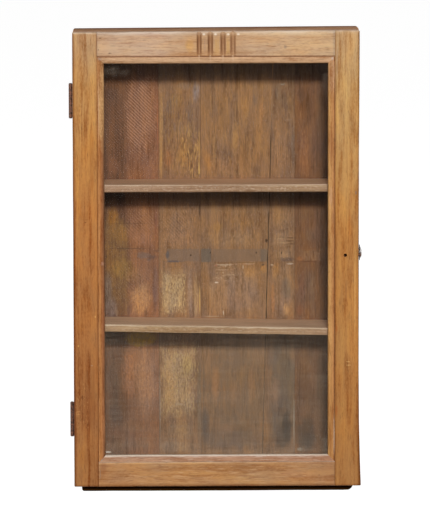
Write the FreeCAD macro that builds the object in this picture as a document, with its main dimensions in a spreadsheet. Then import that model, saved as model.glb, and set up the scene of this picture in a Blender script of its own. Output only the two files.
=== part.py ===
import FreeCAD, Part
import os
import Sketcher

# Driving dimensions in millimetres: name, value and what it measures
SIZES = (
    ("cabinet_width", 535, "over the sides, and over the door"),
    ("carcass_height", 856, "underside of the sides to the top, and the door's height"),
    ("carcass_depth", 150, "wall to the front edges of the sides"),
    ("side_thickness", 17, "side board"),
    ("top_thickness", 16, "top board"),
    ("top_corner_round", 6, "rounding of the top board's upper ends"),
    ("bottom_thickness", 16, "bottom board"),
    ("back_thickness", 10, "back plank"),
    ("back_rebate", 8, "how far the back goes into each side"),
    ("plank_gap", 0.6, "joint between two planks"),
    ("crack_gap", 2, "open joint of the tapered plank"),
    ("base_height", 12, "base board"),
    ("base_end_inset", 14, "base board behind the outer faces of the sides"),
    ("base_front_inset", 2, "base board behind the front edges of the sides"),
    ("base_corner_round", 5, "rounding of the base board's lower ends"),
    ("hanging_rail_height", 45, "hanging rail"),
    ("hanging_rail_thickness", 16, "hanging rail"),
    ("wall_screw_spacing", 400, "between the wall screws"),
    ("wall_screw_hole", 5.5, "diameter"),
    ("wall_screw_sink", 11, "diameter of the countersink"),
    ("shelf_thickness", 13, "shelf board"),
    ("shelf_setback", 6, "shelf behind the front edges of the sides"),
    ("shelf_end_gap", 0.5, "shelf end to side"),
    ("upper_shelf_height", 565.8, "underside of the sides to the shelf's top, left end"),
    ("upper_shelf_rise", 0.2, "right end above left end"),
    ("lower_shelf_height", 304.2, "underside of the sides to the shelf's top, left end"),
    ("lower_shelf_drop", 9.9, "right end below left end"),
    ("cleat_width", 14, "shelf cleat, across"),
    ("cleat_height", 16, "shelf cleat, upright"),
    ("cleat_setback", 20, "cleat behind the shelf's front edge"),
    ("door_thickness", 22, "door frame"),
    ("door_gap", 1.5, "carcass to the closed door"),
    ("stile_width", 46, "stile's face"),
    ("top_rail_height", 49, "top rail's face"),
    ("bottom_rail_height", 46, "bottom rail's face"),
    ("lip_width", 12, "rear lip that carries the glass"),
    ("door_top_round", 6, "rounding of the door's upper front edge"),
    ("door_edge_round", 3, "rounding of the door's other outer edges"),
    ("tenon_thickness", 7, "rail tenon"),
    ("tenon_length", 30, "rail tenon past the stile's inner edge"),
    ("tenon_shoulder", 12, "rail's outer edge to the tenon"),
    ("tenon_end_gap", 1, "tenon to the bottom of its mortise"),
    ("peg_diameter", 6, "frame peg"),
    ("peg_length", 17, "frame peg, from the door's back"),
    ("flute_width", 10.5, "flute in the top rail"),
    ("flute_depth", 3, "flute in the top rail"),
    ("flute_pitch", 20.4, "between flutes"),
    ("knob_hole", 6.5, "diameter"),
    ("knob_hole_inset", 26.5, "hole to the door's right edge"),
    ("latch_height", 435, "underside of the sides to knob hole and hook"),
    ("bead_width", 13, "glazing bead, across"),
    ("bead_depth", 7, "glazing bead, front to back"),
    ("bead_recess", 3, "bead behind the face of the frame"),
    ("bead_round", 4.5, "rounding of the bead's inner front edge"),
    ("bead_pin_diameter", 1.4, "bead pin"),
    ("bead_pin_hold", 8, "bead pin inside the frame"),
    ("bead_pin_sink", 0.5, "bead pin below the bead's inner edge"),
    ("glass_thickness", 3, "glass pane"),
    ("glass_play", 0.3, "glass to bead"),
    ("glass_edge_gap", 1.5, "glass to frame at the sides and the top"),
    ("hinge_length", 63.5, "butt hinge"),
    ("hinge_top_inset", 100, "door's top to the upper hinge"),
    ("hinge_bottom_inset", 94, "door's underside to the lower hinge"),
    ("leaf_width", 14, "hinge leaf inside the wood"),
    ("leaf_thickness", 1.8, "hinge leaf"),
    ("barrel_diameter", 7, "hinge knuckle"),
    ("barrel_gap", 0.3, "hinge barrel to the outer face of the side"),
    ("hinge_pin_diameter", 3.2, "hinge pin"),
    ("pin_clearance", 0.05, "radial room around a turning pin"),
    ("pin_head_diameter", 5.4, "hinge pin's heads"),
    ("pin_head_height", 1.2, "hinge pin's heads"),
    ("door_knuckle", 15, "each of the two knuckles of the door leaf"),
    ("knuckle_gap", 0.2, "between knuckles"),
    ("screw_head", 6, "diameter of a hinge screw's head"),
    ("screw_shank", 3, "diameter of a hinge screw's shank"),
    ("screw_length", 13, "hinge screw"),
    ("screw_point", 3, "tapered end of a hinge screw"),
    ("screw_slot_width", 0.9, "slot in the screw's head"),
    ("screw_slot_depth", 0.7, "slot in the screw's head"),
    ("hook_pivot_setback", 32, "pivot behind the front edges of the sides"),
    ("hook_thickness", 1.5, "hook lever"),
    ("hook_bar_width", 9, "hook lever between eye and nose"),
    ("hook_eye_diameter", 15, "hook lever around the pivot"),
    ("hook_slot_play", 0.8, "radial room of the catch pin in the hook"),
    ("hook_nose", 5, "hook around the slot"),
    ("hook_gap", 0.1, "hook lever to washer and to dome"),
    ("washer_diameter", 16, "washer behind the hook"),
    ("washer_thickness", 0.5, "washer behind the hook"),
    ("dome_diameter", 30, "domed head of the pivot"),
    ("dome_rim", 0.8, "edge of the domed head"),
    ("dome_height", 4.2, "domed head of the pivot"),
    ("dome_round", 5, "hollow and crown of the domed head"),
    ("pivot_shank", 6, "diameter of the pivot"),
    ("rove_diameter", 14, "rove on the pivot's inner end"),
    ("rove_thickness", 1.5, "rove on the pivot's inner end"),
    ("catch_pin_diameter", 4, "catch pin in the door's edge"),
    ("catch_pin_hold", 18, "catch pin inside the door's edge"),
    ("catch_head_diameter", 8, "catch pin's head"),
    ("catch_head_height", 1.6, "catch pin's head"),
    ("catch_head_gap", 0.4, "hook lever to the catch pin's head"),
    ("nail_shank", 2.2, "diameter of a nail"),
    ("nail_head", 4.5, "diameter of a nail's head"),
    ("nail_head_height", 1, "nail's head"),
    ("nail_point", 4, "tapered end of a nail"),
    ("long_nail", 35, "nail of the carcass"),
    ("short_nail", 24, "nail of back, cleats and base"),
    ("drive_room", 0.05, "room around a driven fastener"),
    ("cut_overrun", 1, "how far a cut runs past the surface it opens"),
)

# Plank joints across the back, at the lower and at the upper end
PLANK_JOINT_SHARES = ((0.293, 0.293), (0.448, 0.448), (0.672, 0.717), (0.794, 0.794))
# Flute centres from the middle of the rail, of the flute pitch
FLUTE_SHARES = (-1.53, -0.51, 0.64, 1.55)
# Fastener places along or across the piece that they hold
PLANK_NAIL_SHARES = (0.22, 0.78)
HANGING_NAIL_SHARE = 0.76
DEPTH_NAIL_SHARES = (0.14, 0.5, 0.86)
BASE_NAIL_SHARES = (-0.86, 0, 0.86)
BASE_DEPTH_SHARES = (0.3, 0.8)
SIDE_NAIL_SHARE = 0.32
BACK_NAIL_SHARE = 0.68
CLEAT_NAIL_SHARES = (0.2, 0.8)
PEG_SHARES = (0.28, 0.72)
BEAD_PIN_SHARES = (0.12, 0.5, 0.88)
HINGE_SCREW_SHARES = (0.17, 0.5, 0.83)
# Flat top and foot of the domed head, of its radius
DOME_CROWN_SHARE = 0.34
DOME_FOOT_SHARE = 0.88
POINT_TIP_SHARE = 0.2

# How near a vertex lies to a plane to be on it
ON_PLANE = 1e-6

RIGHT = FreeCAD.Vector(1, 0, 0)
LEFT = FreeCAD.Vector(-1, 0, 0)
WALLWARD = FreeCAD.Vector(0, 1, 0)
FORWARD = FreeCAD.Vector(0, -1, 0)
UP = FreeCAD.Vector(0, 0, 1)
DOWN = FreeCAD.Vector(0, 0, -1)

# Places that follow from the sizes: across from the middle, forward from the wall,
# and up from the underside of the sides
HALF = "(Sizes.cabinet_width / 2)"
INSIDE = "(Sizes.cabinet_width / 2 - Sizes.side_thickness)"
BACK_HALF = "(Sizes.cabinet_width / 2 - Sizes.side_thickness + Sizes.back_rebate)"
BACK_WIDTH = f"(2 * {BACK_HALF})"
FRONT = "Sizes.carcass_depth"
SHELF_DEPTH = "(Sizes.carcass_depth - Sizes.back_thickness - Sizes.shelf_setback)"
UNDER_TOP = "(Sizes.carcass_height - Sizes.top_thickness)"
HANG = "(Sizes.carcass_height - Sizes.top_thickness - Sizes.hanging_rail_height / 2)"
DOOR_BACK = "(Sizes.carcass_depth + Sizes.door_gap)"
DOOR_FRONT = "(Sizes.carcass_depth + Sizes.door_gap + Sizes.door_thickness)"
REBATE = "(Sizes.bead_recess + Sizes.bead_depth + Sizes.glass_play + Sizes.glass_thickness)"
LIP_FRONT = f"({DOOR_FRONT} - {REBATE})"
OPENING_HALF = "(Sizes.cabinet_width / 2 - Sizes.stile_width)"
OPENING_TOP = "(Sizes.carcass_height - Sizes.top_rail_height)"
OPENING_HEIGHT = f"({OPENING_TOP} - Sizes.bottom_rail_height)"
LIP_HALF = f"({OPENING_HALF} - Sizes.lip_width)"
TENON_BACK = f"({DOOR_BACK} + (Sizes.door_thickness - Sizes.tenon_thickness) / 2)"
BARREL_ACROSS = f"(-{HALF} - Sizes.barrel_gap - Sizes.barrel_diameter / 2)"
BARREL_FORWARD = "(Sizes.carcass_depth + Sizes.door_gap / 2)"
PIVOT_FORWARD = "(Sizes.carcass_depth - Sizes.hook_pivot_setback)"
HOOK_REACH = f"({DOOR_BACK} + Sizes.door_thickness / 2 - {PIVOT_FORWARD})"
HOOK_ACROSS = f"({HALF} + Sizes.washer_thickness + Sizes.hook_gap)"
SLOT_RADIUS = "(Sizes.catch_pin_diameter / 2 + Sizes.hook_slot_play)"

doc = FreeCAD.newDocument("wall_cabinet")
sheet = doc.addObject("Spreadsheet::Sheet", "Sizes")
for row, (alias, number, meaning) in enumerate(SIZES, start=1):
    sheet.set(f"A{row}", alias)
    sheet.set(f"B{row}", str(number))
    sheet.setAlias(f"B{row}", alias)
    sheet.set(f"C{row}", meaning)
doc.recompute()

nodes = {}


def value(expression):
    return float(sheet.evalExpression(expression))


def spot(across, forward, up):
    return FreeCAD.Vector(value(across), -value(forward), value(f"{up} - {HANG}"))


def place(thing, across, forward, up):
    thing.setExpression("Placement.Base.x", across)
    thing.setExpression("Placement.Base.y", f"-({forward})")
    thing.setExpression("Placement.Base.z", f"{up} - {HANG}")


def keep(label, thing):
    thing.Label = label
    nodes[label] = thing
    return thing


def box(name, across, forward, up, length, depth, height):
    # Corner at the left, the front and the foot of the box
    block = doc.addObject("Part::Box", name)
    block.setExpression("Length", length)
    block.setExpression("Width", depth)
    block.setExpression("Height", height)
    place(block, across, forward, up)
    return block


def rod(name, across, forward, up, radius, length, direction=UP):
    bar = doc.addObject("Part::Cylinder", name)
    bar.setExpression("Radius", radius)
    bar.setExpression("Height", length)
    bar.Placement = FreeCAD.Placement(FreeCAD.Vector(), FreeCAD.Rotation(UP, direction))
    place(bar, across, forward, up)
    return bar


def fuse(name, *pieces):
    joined = doc.addObject("Part::MultiFuse", name)
    joined.Shapes = list(pieces)
    joined.Refine = True
    return joined


def cut(name, blank, *tools):
    for tool in tools:
        rest = doc.addObject("Part::Cut", name)
        rest.Base = blank
        rest.Tool = tool
        blank = rest
    return blank


def outline(body, role, points):
    # Closed figure on an origin plane of the body, each corner held by two expressions
    sketch = body.newObject("Sketcher::SketchObject", f"{body.Name}_outline")
    plane = next(item for item in body.Origin.OriginFeatures if item.Role == role)
    sketch.AttachmentSupport = [(plane, "")]
    sketch.MapMode = "FlatFace"
    corners = [FreeCAD.Vector(value(across), value(up), 0) for across, up in points]
    for number, corner in enumerate(corners):
        sketch.addGeometry(Part.LineSegment(corner, corners[(number + 1) % len(corners)]))
    for number, corner in enumerate(corners):
        after = (number + 1) % len(corners)
        sketch.addConstraint(Sketcher.Constraint("Coincident", number, 2, after, 1))
    for number, (corner, point) in enumerate(zip(corners, points)):
        hold(sketch, number, "DistanceX", -2, corner.x, point[0])
        hold(sketch, number, "DistanceY", -1, corner.y, point[1])
    return sketch


def hold(sketch, number, kind, axis, distance, expression):
    if expression == "0":
        sketch.addConstraint(Sketcher.Constraint("PointOnObject", number, 1, axis))
        return
    index = sketch.addConstraint(Sketcher.Constraint(kind, -1, 1, number, 1, distance))
    sketch.setExpression(f"Constraints[{index}]", expression)


def padded(name, role, points, length):
    body = doc.addObject("PartDesign::Body", name)
    pad = body.newObject("PartDesign::Pad", f"{name}_pad")
    pad.Profile = outline(body, role, points)
    pad.setExpression("Length", length)
    doc.recompute()
    return body


def turned(name, points):
    # Solid of revolution about the body's upright axis, from radius and height pairs
    body = doc.addObject("PartDesign::Body", name)
    sketch = outline(body, "XZ_Plane", points)
    turn = body.newObject("PartDesign::Revolution", f"{name}_turn")
    turn.Profile = sketch
    turn.ReferenceAxis = (sketch, ["V_Axis"])
    turn.Angle = 360
    doc.recompute()
    return body


def edges_on(feature, planes):
    found = []
    for number, edge in enumerate(feature.Shape.Edges, start=1):
        ends = [vertex.Point for vertex in edge.Vertexes]
        if all(abs(getattr(end, axis) - at) < ON_PLANE for end in ends for axis, at in planes.items()):
            found.append(f"Edge{number}")
    return found


def rounded(body, radius, *edges):
    feature = body.Tip
    fillet = body.newObject("PartDesign::Fillet", f"{body.Name}_round")
    fillet.Base = (feature, [name for planes in edges for name in edges_on(feature, planes)])
    fillet.setExpression("Radius", radius)
    doc.recompute()
    return body


def copies(name, pattern, places):
    # One group of separate solids, the pattern's upright axis turned along each direction
    doc.recompute()
    solids = []
    for point, direction in places:
        solid = pattern.Shape.copy()
        solid.Placement = FreeCAD.Placement(point, FreeCAD.Rotation(UP, direction))
        solids.append(solid)
    group = doc.addObject("Part::Feature", name)
    group.Shape = Part.makeCompound(solids)
    return group


def nail(name, length, room):
    return turned(name, (
        ("0", "0"),
        (f"Sizes.nail_head / 2 + {room}", "0"),
        (f"Sizes.nail_head / 2 + {room}", "Sizes.nail_head_height"),
        (f"Sizes.nail_shank / 2 + {room}", "Sizes.nail_head_height"),
        (f"Sizes.nail_shank / 2 + {room}", f"{length} - Sizes.nail_point"),
        (f"Sizes.nail_shank / 2 * {POINT_TIP_SHARE} + {room}", f"{length} + {room}"),
        ("0", f"{length} + {room}"),
    ))


def screw(name, room):
    return turned(name, (
        ("0", "0"),
        (f"Sizes.screw_head / 2 + {room}", "0"),
        (f"Sizes.screw_shank / 2 + {room}", "(Sizes.screw_head - Sizes.screw_shank) / 2"),
        (f"Sizes.screw_shank / 2 + {room}", "Sizes.screw_length - Sizes.screw_point"),
        (f"Sizes.screw_shank / 2 * {POINT_TIP_SHARE} + {room}", f"Sizes.screw_length + {room}"),
        ("0", f"Sizes.screw_length + {room}"),
    ))


ROOM = "Sizes.drive_room"
long_nail = nail("long_nail_pattern", "Sizes.long_nail", "0")
long_nail_bore = nail("long_nail_bore_pattern", "Sizes.long_nail", ROOM)
short_nail = nail("short_nail_pattern", "Sizes.short_nail", "0")
short_nail_bore = nail("short_nail_bore_pattern", "Sizes.short_nail", ROOM)
screw_bore = screw("screw_bore_pattern", ROOM)
screw_slot = doc.addObject("Part::Box", "screw_slot")
screw_slot.setExpression("Length", "Sizes.screw_head + Sizes.cut_overrun * 2")
screw_slot.setExpression("Width", "Sizes.screw_slot_width")
screw_slot.setExpression("Height", "Sizes.screw_slot_depth + Sizes.cut_overrun")
screw_slot.setExpression("Placement.Base.x", "-Sizes.screw_head / 2 - Sizes.cut_overrun")
screw_slot.setExpression("Placement.Base.y", "-Sizes.screw_slot_width / 2")
screw_slot.setExpression("Placement.Base.z", "-Sizes.cut_overrun")
hinge_screw = cut("hinge_screw_pattern", screw("screw_blank", "0"), screw_slot)

# Places of the driven fasteners
plank_edges = []
for number in range(len(PLANK_JOINT_SHARES) + 1):
    low_left, high_left = PLANK_JOINT_SHARES[number - 1] if number else (0, 0)
    low_right, high_right = (PLANK_JOINT_SHARES + ((1, 1),))[number]
    plank_edges.append((low_left, high_left, low_right, high_right))

back_nail_places = []
hanging_up = f"({UNDER_TOP} - Sizes.hanging_rail_height * {1 - HANGING_NAIL_SHARE})"
for low_left, high_left, low_right, high_right in plank_edges:
    for share in PLANK_NAIL_SHARES:
        low = low_left + (low_right - low_left) * share
        high = high_left + (high_right - high_left) * share
        foot_up = f"Sizes.bottom_thickness * {BACK_NAIL_SHARE}"
        foot = spot(f"-{BACK_HALF} + {BACK_WIDTH} * {low}", "0", foot_up)
        head = spot(f"-{BACK_HALF} + {BACK_WIDTH} * {high}", "0", hanging_up)
        back_nail_places.append((foot, FORWARD))
        back_nail_places.append((head, FORWARD))

carcass_nail_places = []
for share in DEPTH_NAIL_SHARES:
    forward = f"{FRONT} * {share}"
    over_left = spot(f"-{HALF} + Sizes.side_thickness / 2", forward, "Sizes.carcass_height")
    over_right = spot(f"{HALF} - Sizes.side_thickness / 2", forward, "Sizes.carcass_height")
    carcass_nail_places.append((over_left, DOWN))
    carcass_nail_places.append((over_right, DOWN))
    side_up = f"Sizes.bottom_thickness * {SIDE_NAIL_SHARE}"
    carcass_nail_places.append((spot(f"-{HALF}", forward, side_up), RIGHT))
    carcass_nail_places.append((spot(HALF, forward, side_up), LEFT))

base_nail_places = []
for across_share in BASE_NAIL_SHARES:
    for share in BASE_DEPTH_SHARES:
        foot = spot(f"{INSIDE} * {across_share}", f"{FRONT} * {share}", "-Sizes.base_height")
        base_nail_places.append((foot, UP))

back_bores = copies("back_bores", short_nail_bore, back_nail_places)
carcass_bores = copies("carcass_bores", long_nail_bore, carcass_nail_places)
base_bores = copies("base_bores", short_nail_bore, base_nail_places)
keep("back_nails", copies("back_nails", short_nail, back_nail_places))
keep("carcass_nails", copies("carcass_nails", long_nail, carcass_nail_places))
keep("base_nails", copies("base_nails", short_nail, base_nail_places))

# Shelves with sheared ends, each on two cleats whose tops follow its slope
SHELVES = (
    ("upper", "Sizes.upper_shelf_height", "Sizes.upper_shelf_rise"),
    ("lower", "Sizes.lower_shelf_height", "(-Sizes.lower_shelf_drop)"),
)
SHELF_LENGTH = f"(2 * ({INSIDE} - Sizes.shelf_end_gap))"
CLEAT_LENGTH = f"({SHELF_DEPTH} - Sizes.cleat_setback)"
cleat_nail_places = []
cleat_blanks = []
for level, height, rise in SHELVES:
    lift = "Sizes.lower_shelf_drop"
    shelf = padded(f"shelf_{level}", "XZ_Plane", (
        ("0", lift),
        (SHELF_LENGTH, f"{lift} + {rise}"),
        (SHELF_LENGTH, f"{lift} + {rise} + Sizes.shelf_thickness"),
        ("0", f"{lift} + Sizes.shelf_thickness"),
    ), SHELF_DEPTH)
    shelf_foot = f"{height} - Sizes.shelf_thickness - {lift}"
    place(shelf, f"-{INSIDE} + Sizes.shelf_end_gap", "Sizes.back_thickness", shelf_foot)
    keep(f"shelf_{level}", shelf)
    slope = f"{rise} / {SHELF_LENGTH}"
    near = "-Sizes.shelf_end_gap"
    far = f"{SHELF_LENGTH} + Sizes.shelf_end_gap - Sizes.cleat_width"
    for side, start, left, inner, out in (
        ("left", near, f"-{INSIDE}", f"-{INSIDE} + Sizes.cleat_width", LEFT),
        ("right", far, f"{INSIDE} - Sizes.cleat_width", f"{INSIDE} - Sizes.cleat_width", RIGHT),
    ):
        cleat = padded(f"cleat_{level}_{side}_blank", "XZ_Plane", (
            ("0", "0"),
            ("Sizes.cleat_width", "0"),
            ("Sizes.cleat_width", f"Sizes.cleat_height + {slope} * Sizes.cleat_width"),
            ("0", "Sizes.cleat_height"),
        ), CLEAT_LENGTH)
        cleat_foot = f"{height} - Sizes.shelf_thickness - Sizes.cleat_height + {slope} * ({start})"
        place(cleat, left, "Sizes.back_thickness", cleat_foot)
        cleat_blanks.append((f"cleat_{level}_{side}", cleat))
        middle = f"{cleat_foot} + Sizes.cleat_height / 2"
        for share in CLEAT_NAIL_SHARES:
            nail_forward = f"Sizes.back_thickness + {CLEAT_LENGTH} * {share}"
            cleat_nail_places.append((spot(inner, nail_forward, middle), out))

cleat_bores = copies("cleat_bores", short_nail_bore, cleat_nail_places)
keep("cleat_nails", copies("cleat_nails", short_nail, cleat_nail_places))
for label, cleat in cleat_blanks:
    keep(label, cut(f"{label}_bored", cleat, cleat_bores))

# Hinge places: foot of the hinge above the underside of the sides
HINGES = (
    ("upper", "(Sizes.carcass_height - Sizes.hinge_top_inset - Sizes.hinge_length)"),
    ("lower", "Sizes.hinge_bottom_inset"),
)
CARCASS_KNUCKLE = "((Sizes.hinge_length - 2 * Sizes.door_knuckle - 4 * Sizes.knuckle_gap) / 3)"
KNUCKLE_STEP = f"({CARCASS_KNUCKLE} + Sizes.door_knuckle + 2 * Sizes.knuckle_gap)"
PIN_BORE = "(Sizes.hinge_pin_diameter / 2 + Sizes.pin_clearance)"
screw_across = f"-{HALF} + Sizes.leaf_width / 2"
carcass_screw_places = []
door_screw_places = []
for level, foot in HINGES:
    for share in HINGE_SCREW_SHARES:
        screw_up = f"{foot} + Sizes.hinge_length * {share}"
        carcass_screw_places.append((spot(screw_across, FRONT, screw_up), WALLWARD))
        door_screw_places.append((spot(screw_across, DOOR_BACK, screw_up), FORWARD))
carcass_screw_bores = copies("carcass_screw_bores", screw_bore, carcass_screw_places)
door_screw_bores = copies("door_screw_bores", screw_bore, door_screw_places)
keep("hinge_screws_carcass", copies("hinge_screws_carcass", hinge_screw, carcass_screw_places))
keep("hinge_screws_door", copies("hinge_screws_door", hinge_screw, door_screw_places))


def hinge_leaf(label, foot, leaf_front, starts, knuckle, bores):
    plate = box(
        f"{label}_plate", f"-{HALF}", leaf_front, foot,
        "Sizes.leaf_width", "Sizes.leaf_thickness", "Sizes.hinge_length",
    )
    pieces = [plate]
    for start in starts:
        up = f"{foot} + {start}"
        pieces.append(box(
            f"{label}_web", BARREL_ACROSS, leaf_front, up,
            f"-{HALF} - {BARREL_ACROSS}", "Sizes.leaf_thickness", knuckle,
        ))
        barrel = "Sizes.barrel_diameter / 2"
        pieces.append(rod(f"{label}_knuckle", BARREL_ACROSS, BARREL_FORWARD, up, barrel, knuckle))
    pin_bore = rod(
        f"{label}_pin_bore", BARREL_ACROSS, BARREL_FORWARD, f"{foot} - Sizes.cut_overrun",
        PIN_BORE, "Sizes.hinge_length + 2 * Sizes.cut_overrun",
    )
    return keep(label, cut(f"{label}_bored", fuse(f"{label}_blank", *pieces), pin_bore, bores))


side_mortises = []
stile_mortises = []
for level, foot in HINGES:
    hinge_leaf(
        f"hinge_leaf_carcass_{level}", foot, FRONT,
        ("0", KNUCKLE_STEP, f"2 * {KNUCKLE_STEP}"), CARCASS_KNUCKLE, carcass_screw_bores,
    )
    door_start = f"({CARCASS_KNUCKLE} + Sizes.knuckle_gap)"
    hinge_leaf(
        f"hinge_leaf_door_{level}", foot, f"({DOOR_BACK} + Sizes.leaf_thickness)",
        (door_start, f"{door_start} + {KNUCKLE_STEP}"), "Sizes.door_knuckle", door_screw_bores,
    )
    pin = turned(f"hinge_pin_{level}", (
        ("0", "0"),
        ("Sizes.pin_head_diameter / 2", "0"),
        ("Sizes.pin_head_diameter / 2", "Sizes.pin_head_height"),
        ("Sizes.hinge_pin_diameter / 2", "Sizes.pin_head_height"),
        ("Sizes.hinge_pin_diameter / 2", "Sizes.pin_head_height + Sizes.hinge_length"),
        ("Sizes.pin_head_diameter / 2", "Sizes.pin_head_height + Sizes.hinge_length"),
        ("Sizes.pin_head_diameter / 2", "2 * Sizes.pin_head_height + Sizes.hinge_length"),
        ("0", "2 * Sizes.pin_head_height + Sizes.hinge_length"),
    ))
    place(pin, BARREL_ACROSS, BARREL_FORWARD, f"{foot} - Sizes.pin_head_height")
    keep(f"hinge_pin_{level}", pin)
    side_mortises.append(box(
        f"side_mortise_{level}", f"-{HALF} - Sizes.cut_overrun",
        f"{FRONT} + Sizes.cut_overrun", foot,
        "Sizes.leaf_width + Sizes.cut_overrun",
        "Sizes.leaf_thickness + Sizes.cut_overrun", "Sizes.hinge_length",
    ))
    stile_mortises.append(box(
        f"stile_mortise_{level}", f"-{HALF} - Sizes.cut_overrun",
        f"{DOOR_BACK} + Sizes.leaf_thickness", foot,
        "Sizes.leaf_width + Sizes.cut_overrun",
        "Sizes.leaf_thickness + Sizes.cut_overrun", "Sizes.hinge_length",
    ))

# Carcass boards
pivot_bore = rod(
    "pivot_bore", f"{INSIDE} - Sizes.cut_overrun", PIVOT_FORWARD, "Sizes.latch_height",
    "Sizes.pivot_shank / 2 + Sizes.drive_room",
    "Sizes.side_thickness + 2 * Sizes.cut_overrun", RIGHT,
)
rove_seat = rod(
    "rove_seat", f"{INSIDE} - Sizes.cut_overrun", PIVOT_FORWARD, "Sizes.latch_height",
    "Sizes.rove_diameter / 2 + Sizes.drive_room",
    "Sizes.rove_thickness + Sizes.cut_overrun", RIGHT,
)
for side, outer, rebate_across, extra in (
    ("left", f"-{HALF}", f"-{BACK_HALF}", [*side_mortises, carcass_screw_bores]),
    ("right", INSIDE, f"{INSIDE} - Sizes.cut_overrun", [pivot_bore, rove_seat]),
):
    board = box(
        f"side_{side}_board", outer, FRONT, "0",
        "Sizes.side_thickness", "Sizes.carcass_depth", UNDER_TOP,
    )
    rebate = box(
        f"side_{side}_rebate", rebate_across, "Sizes.back_thickness", "-Sizes.cut_overrun",
        "Sizes.back_rebate + Sizes.cut_overrun", "Sizes.back_thickness + Sizes.cut_overrun",
        f"{UNDER_TOP} + 2 * Sizes.cut_overrun",
    )
    bored = cut(f"side_{side}_bored", board, rebate, carcass_bores, cleat_bores, *extra)
    keep(f"side_{side}", bored)

top = padded("top_board_blank", "XZ_Plane", (
    ("0", "0"),
    ("Sizes.cabinet_width", "0"),
    ("Sizes.cabinet_width", "Sizes.top_thickness"),
    ("0", "Sizes.top_thickness"),
), "Sizes.carcass_depth")
top_up = value("Sizes.top_thickness")
rounded(
    top, "Sizes.top_corner_round",
    {"x": 0, "z": top_up}, {"x": value("Sizes.cabinet_width"), "z": top_up},
)
place(top, f"-{HALF}", "0", UNDER_TOP)
keep("top_board", cut("top_board_bored", top, carcass_bores))

bottom = box(
    "bottom_board_blank", f"-{INSIDE}", FRONT, "0", f"2 * {INSIDE}",
    "Sizes.carcass_depth - Sizes.back_thickness", "Sizes.bottom_thickness",
)
keep("bottom_board", cut("bottom_board_bored", bottom, carcass_bores, back_bores, base_bores))

BASE_LENGTH = "(Sizes.cabinet_width - 2 * Sizes.base_end_inset)"
base = padded("base_board_blank", "XZ_Plane", (
    ("0", "0"),
    (BASE_LENGTH, "0"),
    (BASE_LENGTH, "Sizes.base_height"),
    ("0", "Sizes.base_height"),
), "Sizes.carcass_depth - Sizes.base_front_inset")
rounded(base, "Sizes.base_corner_round", {"x": 0, "z": 0}, {"x": value(BASE_LENGTH), "z": 0})
place(base, f"-{HALF} + Sizes.base_end_inset", "0", "-Sizes.base_height")
keep("base_board", cut("base_board_bored", base, base_bores))

# Wall screw holes through hanging rail and planks, countersunk on the inside
RAIL_FRONT = "(Sizes.back_thickness + Sizes.hanging_rail_thickness)"
wall_holes = []
for side in ("-", ""):
    across = f"{side}Sizes.wall_screw_spacing / 2"
    hole = rod(
        "wall_hole", across, f"{RAIL_FRONT} + Sizes.cut_overrun", HANG, "Sizes.wall_screw_hole / 2",
        f"{RAIL_FRONT} + 2 * Sizes.cut_overrun", WALLWARD,
    )
    sink = doc.addObject("Part::Cone", "wall_hole_sink")
    sink.setExpression("Radius1", "Sizes.wall_screw_sink / 2")
    sink.setExpression("Radius2", "Sizes.wall_screw_hole / 2")
    sink.setExpression("Height", "(Sizes.wall_screw_sink - Sizes.wall_screw_hole) / 2")
    sink.Placement = FreeCAD.Placement(FreeCAD.Vector(), FreeCAD.Rotation(UP, WALLWARD))
    place(sink, across, RAIL_FRONT, HANG)
    wall_holes.append(fuse("wall_hole_cut", hole, sink))

rail = box(
    "hanging_rail_blank", f"-{INSIDE}", RAIL_FRONT, f"{UNDER_TOP} - Sizes.hanging_rail_height",
    f"2 * {INSIDE}", "Sizes.hanging_rail_thickness", "Sizes.hanging_rail_height",
)
keep("hanging_rail", cut("hanging_rail_bored", rail, back_bores, *wall_holes))

# Back planks, with half of each joint taken from either neighbour
joint_gaps = ["0", "Sizes.plank_gap", "Sizes.plank_gap", "Sizes.crack_gap", "Sizes.plank_gap", "0"]
for number, (low_left, high_left, low_right, high_right) in enumerate(plank_edges):
    left_gap = joint_gaps[number]
    right_gap = joint_gaps[number + 1]
    joints = f"({left_gap} + {right_gap}) / 2"
    first = min(low_left, high_left)
    low_start = f"{BACK_WIDTH} * {low_left - first}" if low_left > first else "0"
    high_start = f"{BACK_WIDTH} * {high_left - first}" if high_left > first else "0"
    plank = padded(f"back_plank_{number + 1}_blank", "XZ_Plane", (
        (low_start, "0"),
        (f"{BACK_WIDTH} * {low_right - first} - {joints}", "0"),
        (f"{BACK_WIDTH} * {high_right - first} - {joints}", UNDER_TOP),
        (high_start, UNDER_TOP),
    ), "Sizes.back_thickness")
    place(plank, f"-{BACK_HALF} + {BACK_WIDTH} * {first} + {left_gap} / 2", "0", "0")
    bored = cut(f"back_plank_{number + 1}_bored", plank, back_bores, *wall_holes)
    keep(f"back_plank_{number + 1}", bored)

# Door frame: stiles run through, rails have tenons between long and short shoulders
TENONS = (
    ("top", OPENING_TOP, "(Sizes.top_rail_height - Sizes.tenon_shoulder)"),
    ("bottom", "Sizes.tenon_shoulder", "(Sizes.bottom_rail_height - Sizes.tenon_shoulder)"),
)
TENON_REACH = f"({OPENING_HALF} + Sizes.tenon_length)"
peg_places = []
mortises = []
for level, foot, height in TENONS:
    mortises.append(box(
        f"mortise_{level}", f"-{TENON_REACH} - Sizes.tenon_end_gap",
        f"{TENON_BACK} + Sizes.tenon_thickness", foot,
        f"2 * ({TENON_REACH} + Sizes.tenon_end_gap)", "Sizes.tenon_thickness", height,
    ))
    for share in PEG_SHARES:
        peg_up = f"{foot} + {height} * {share}"
        peg_across = f"({OPENING_HALF} + Sizes.tenon_length / 2)"
        peg_places.append((spot(f"-{peg_across}", DOOR_BACK, peg_up), FORWARD))
        peg_places.append((spot(peg_across, DOOR_BACK, peg_up), FORWARD))
peg = doc.addObject("Part::Cylinder", "peg_pattern")
peg.setExpression("Radius", "Sizes.peg_diameter / 2")
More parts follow.
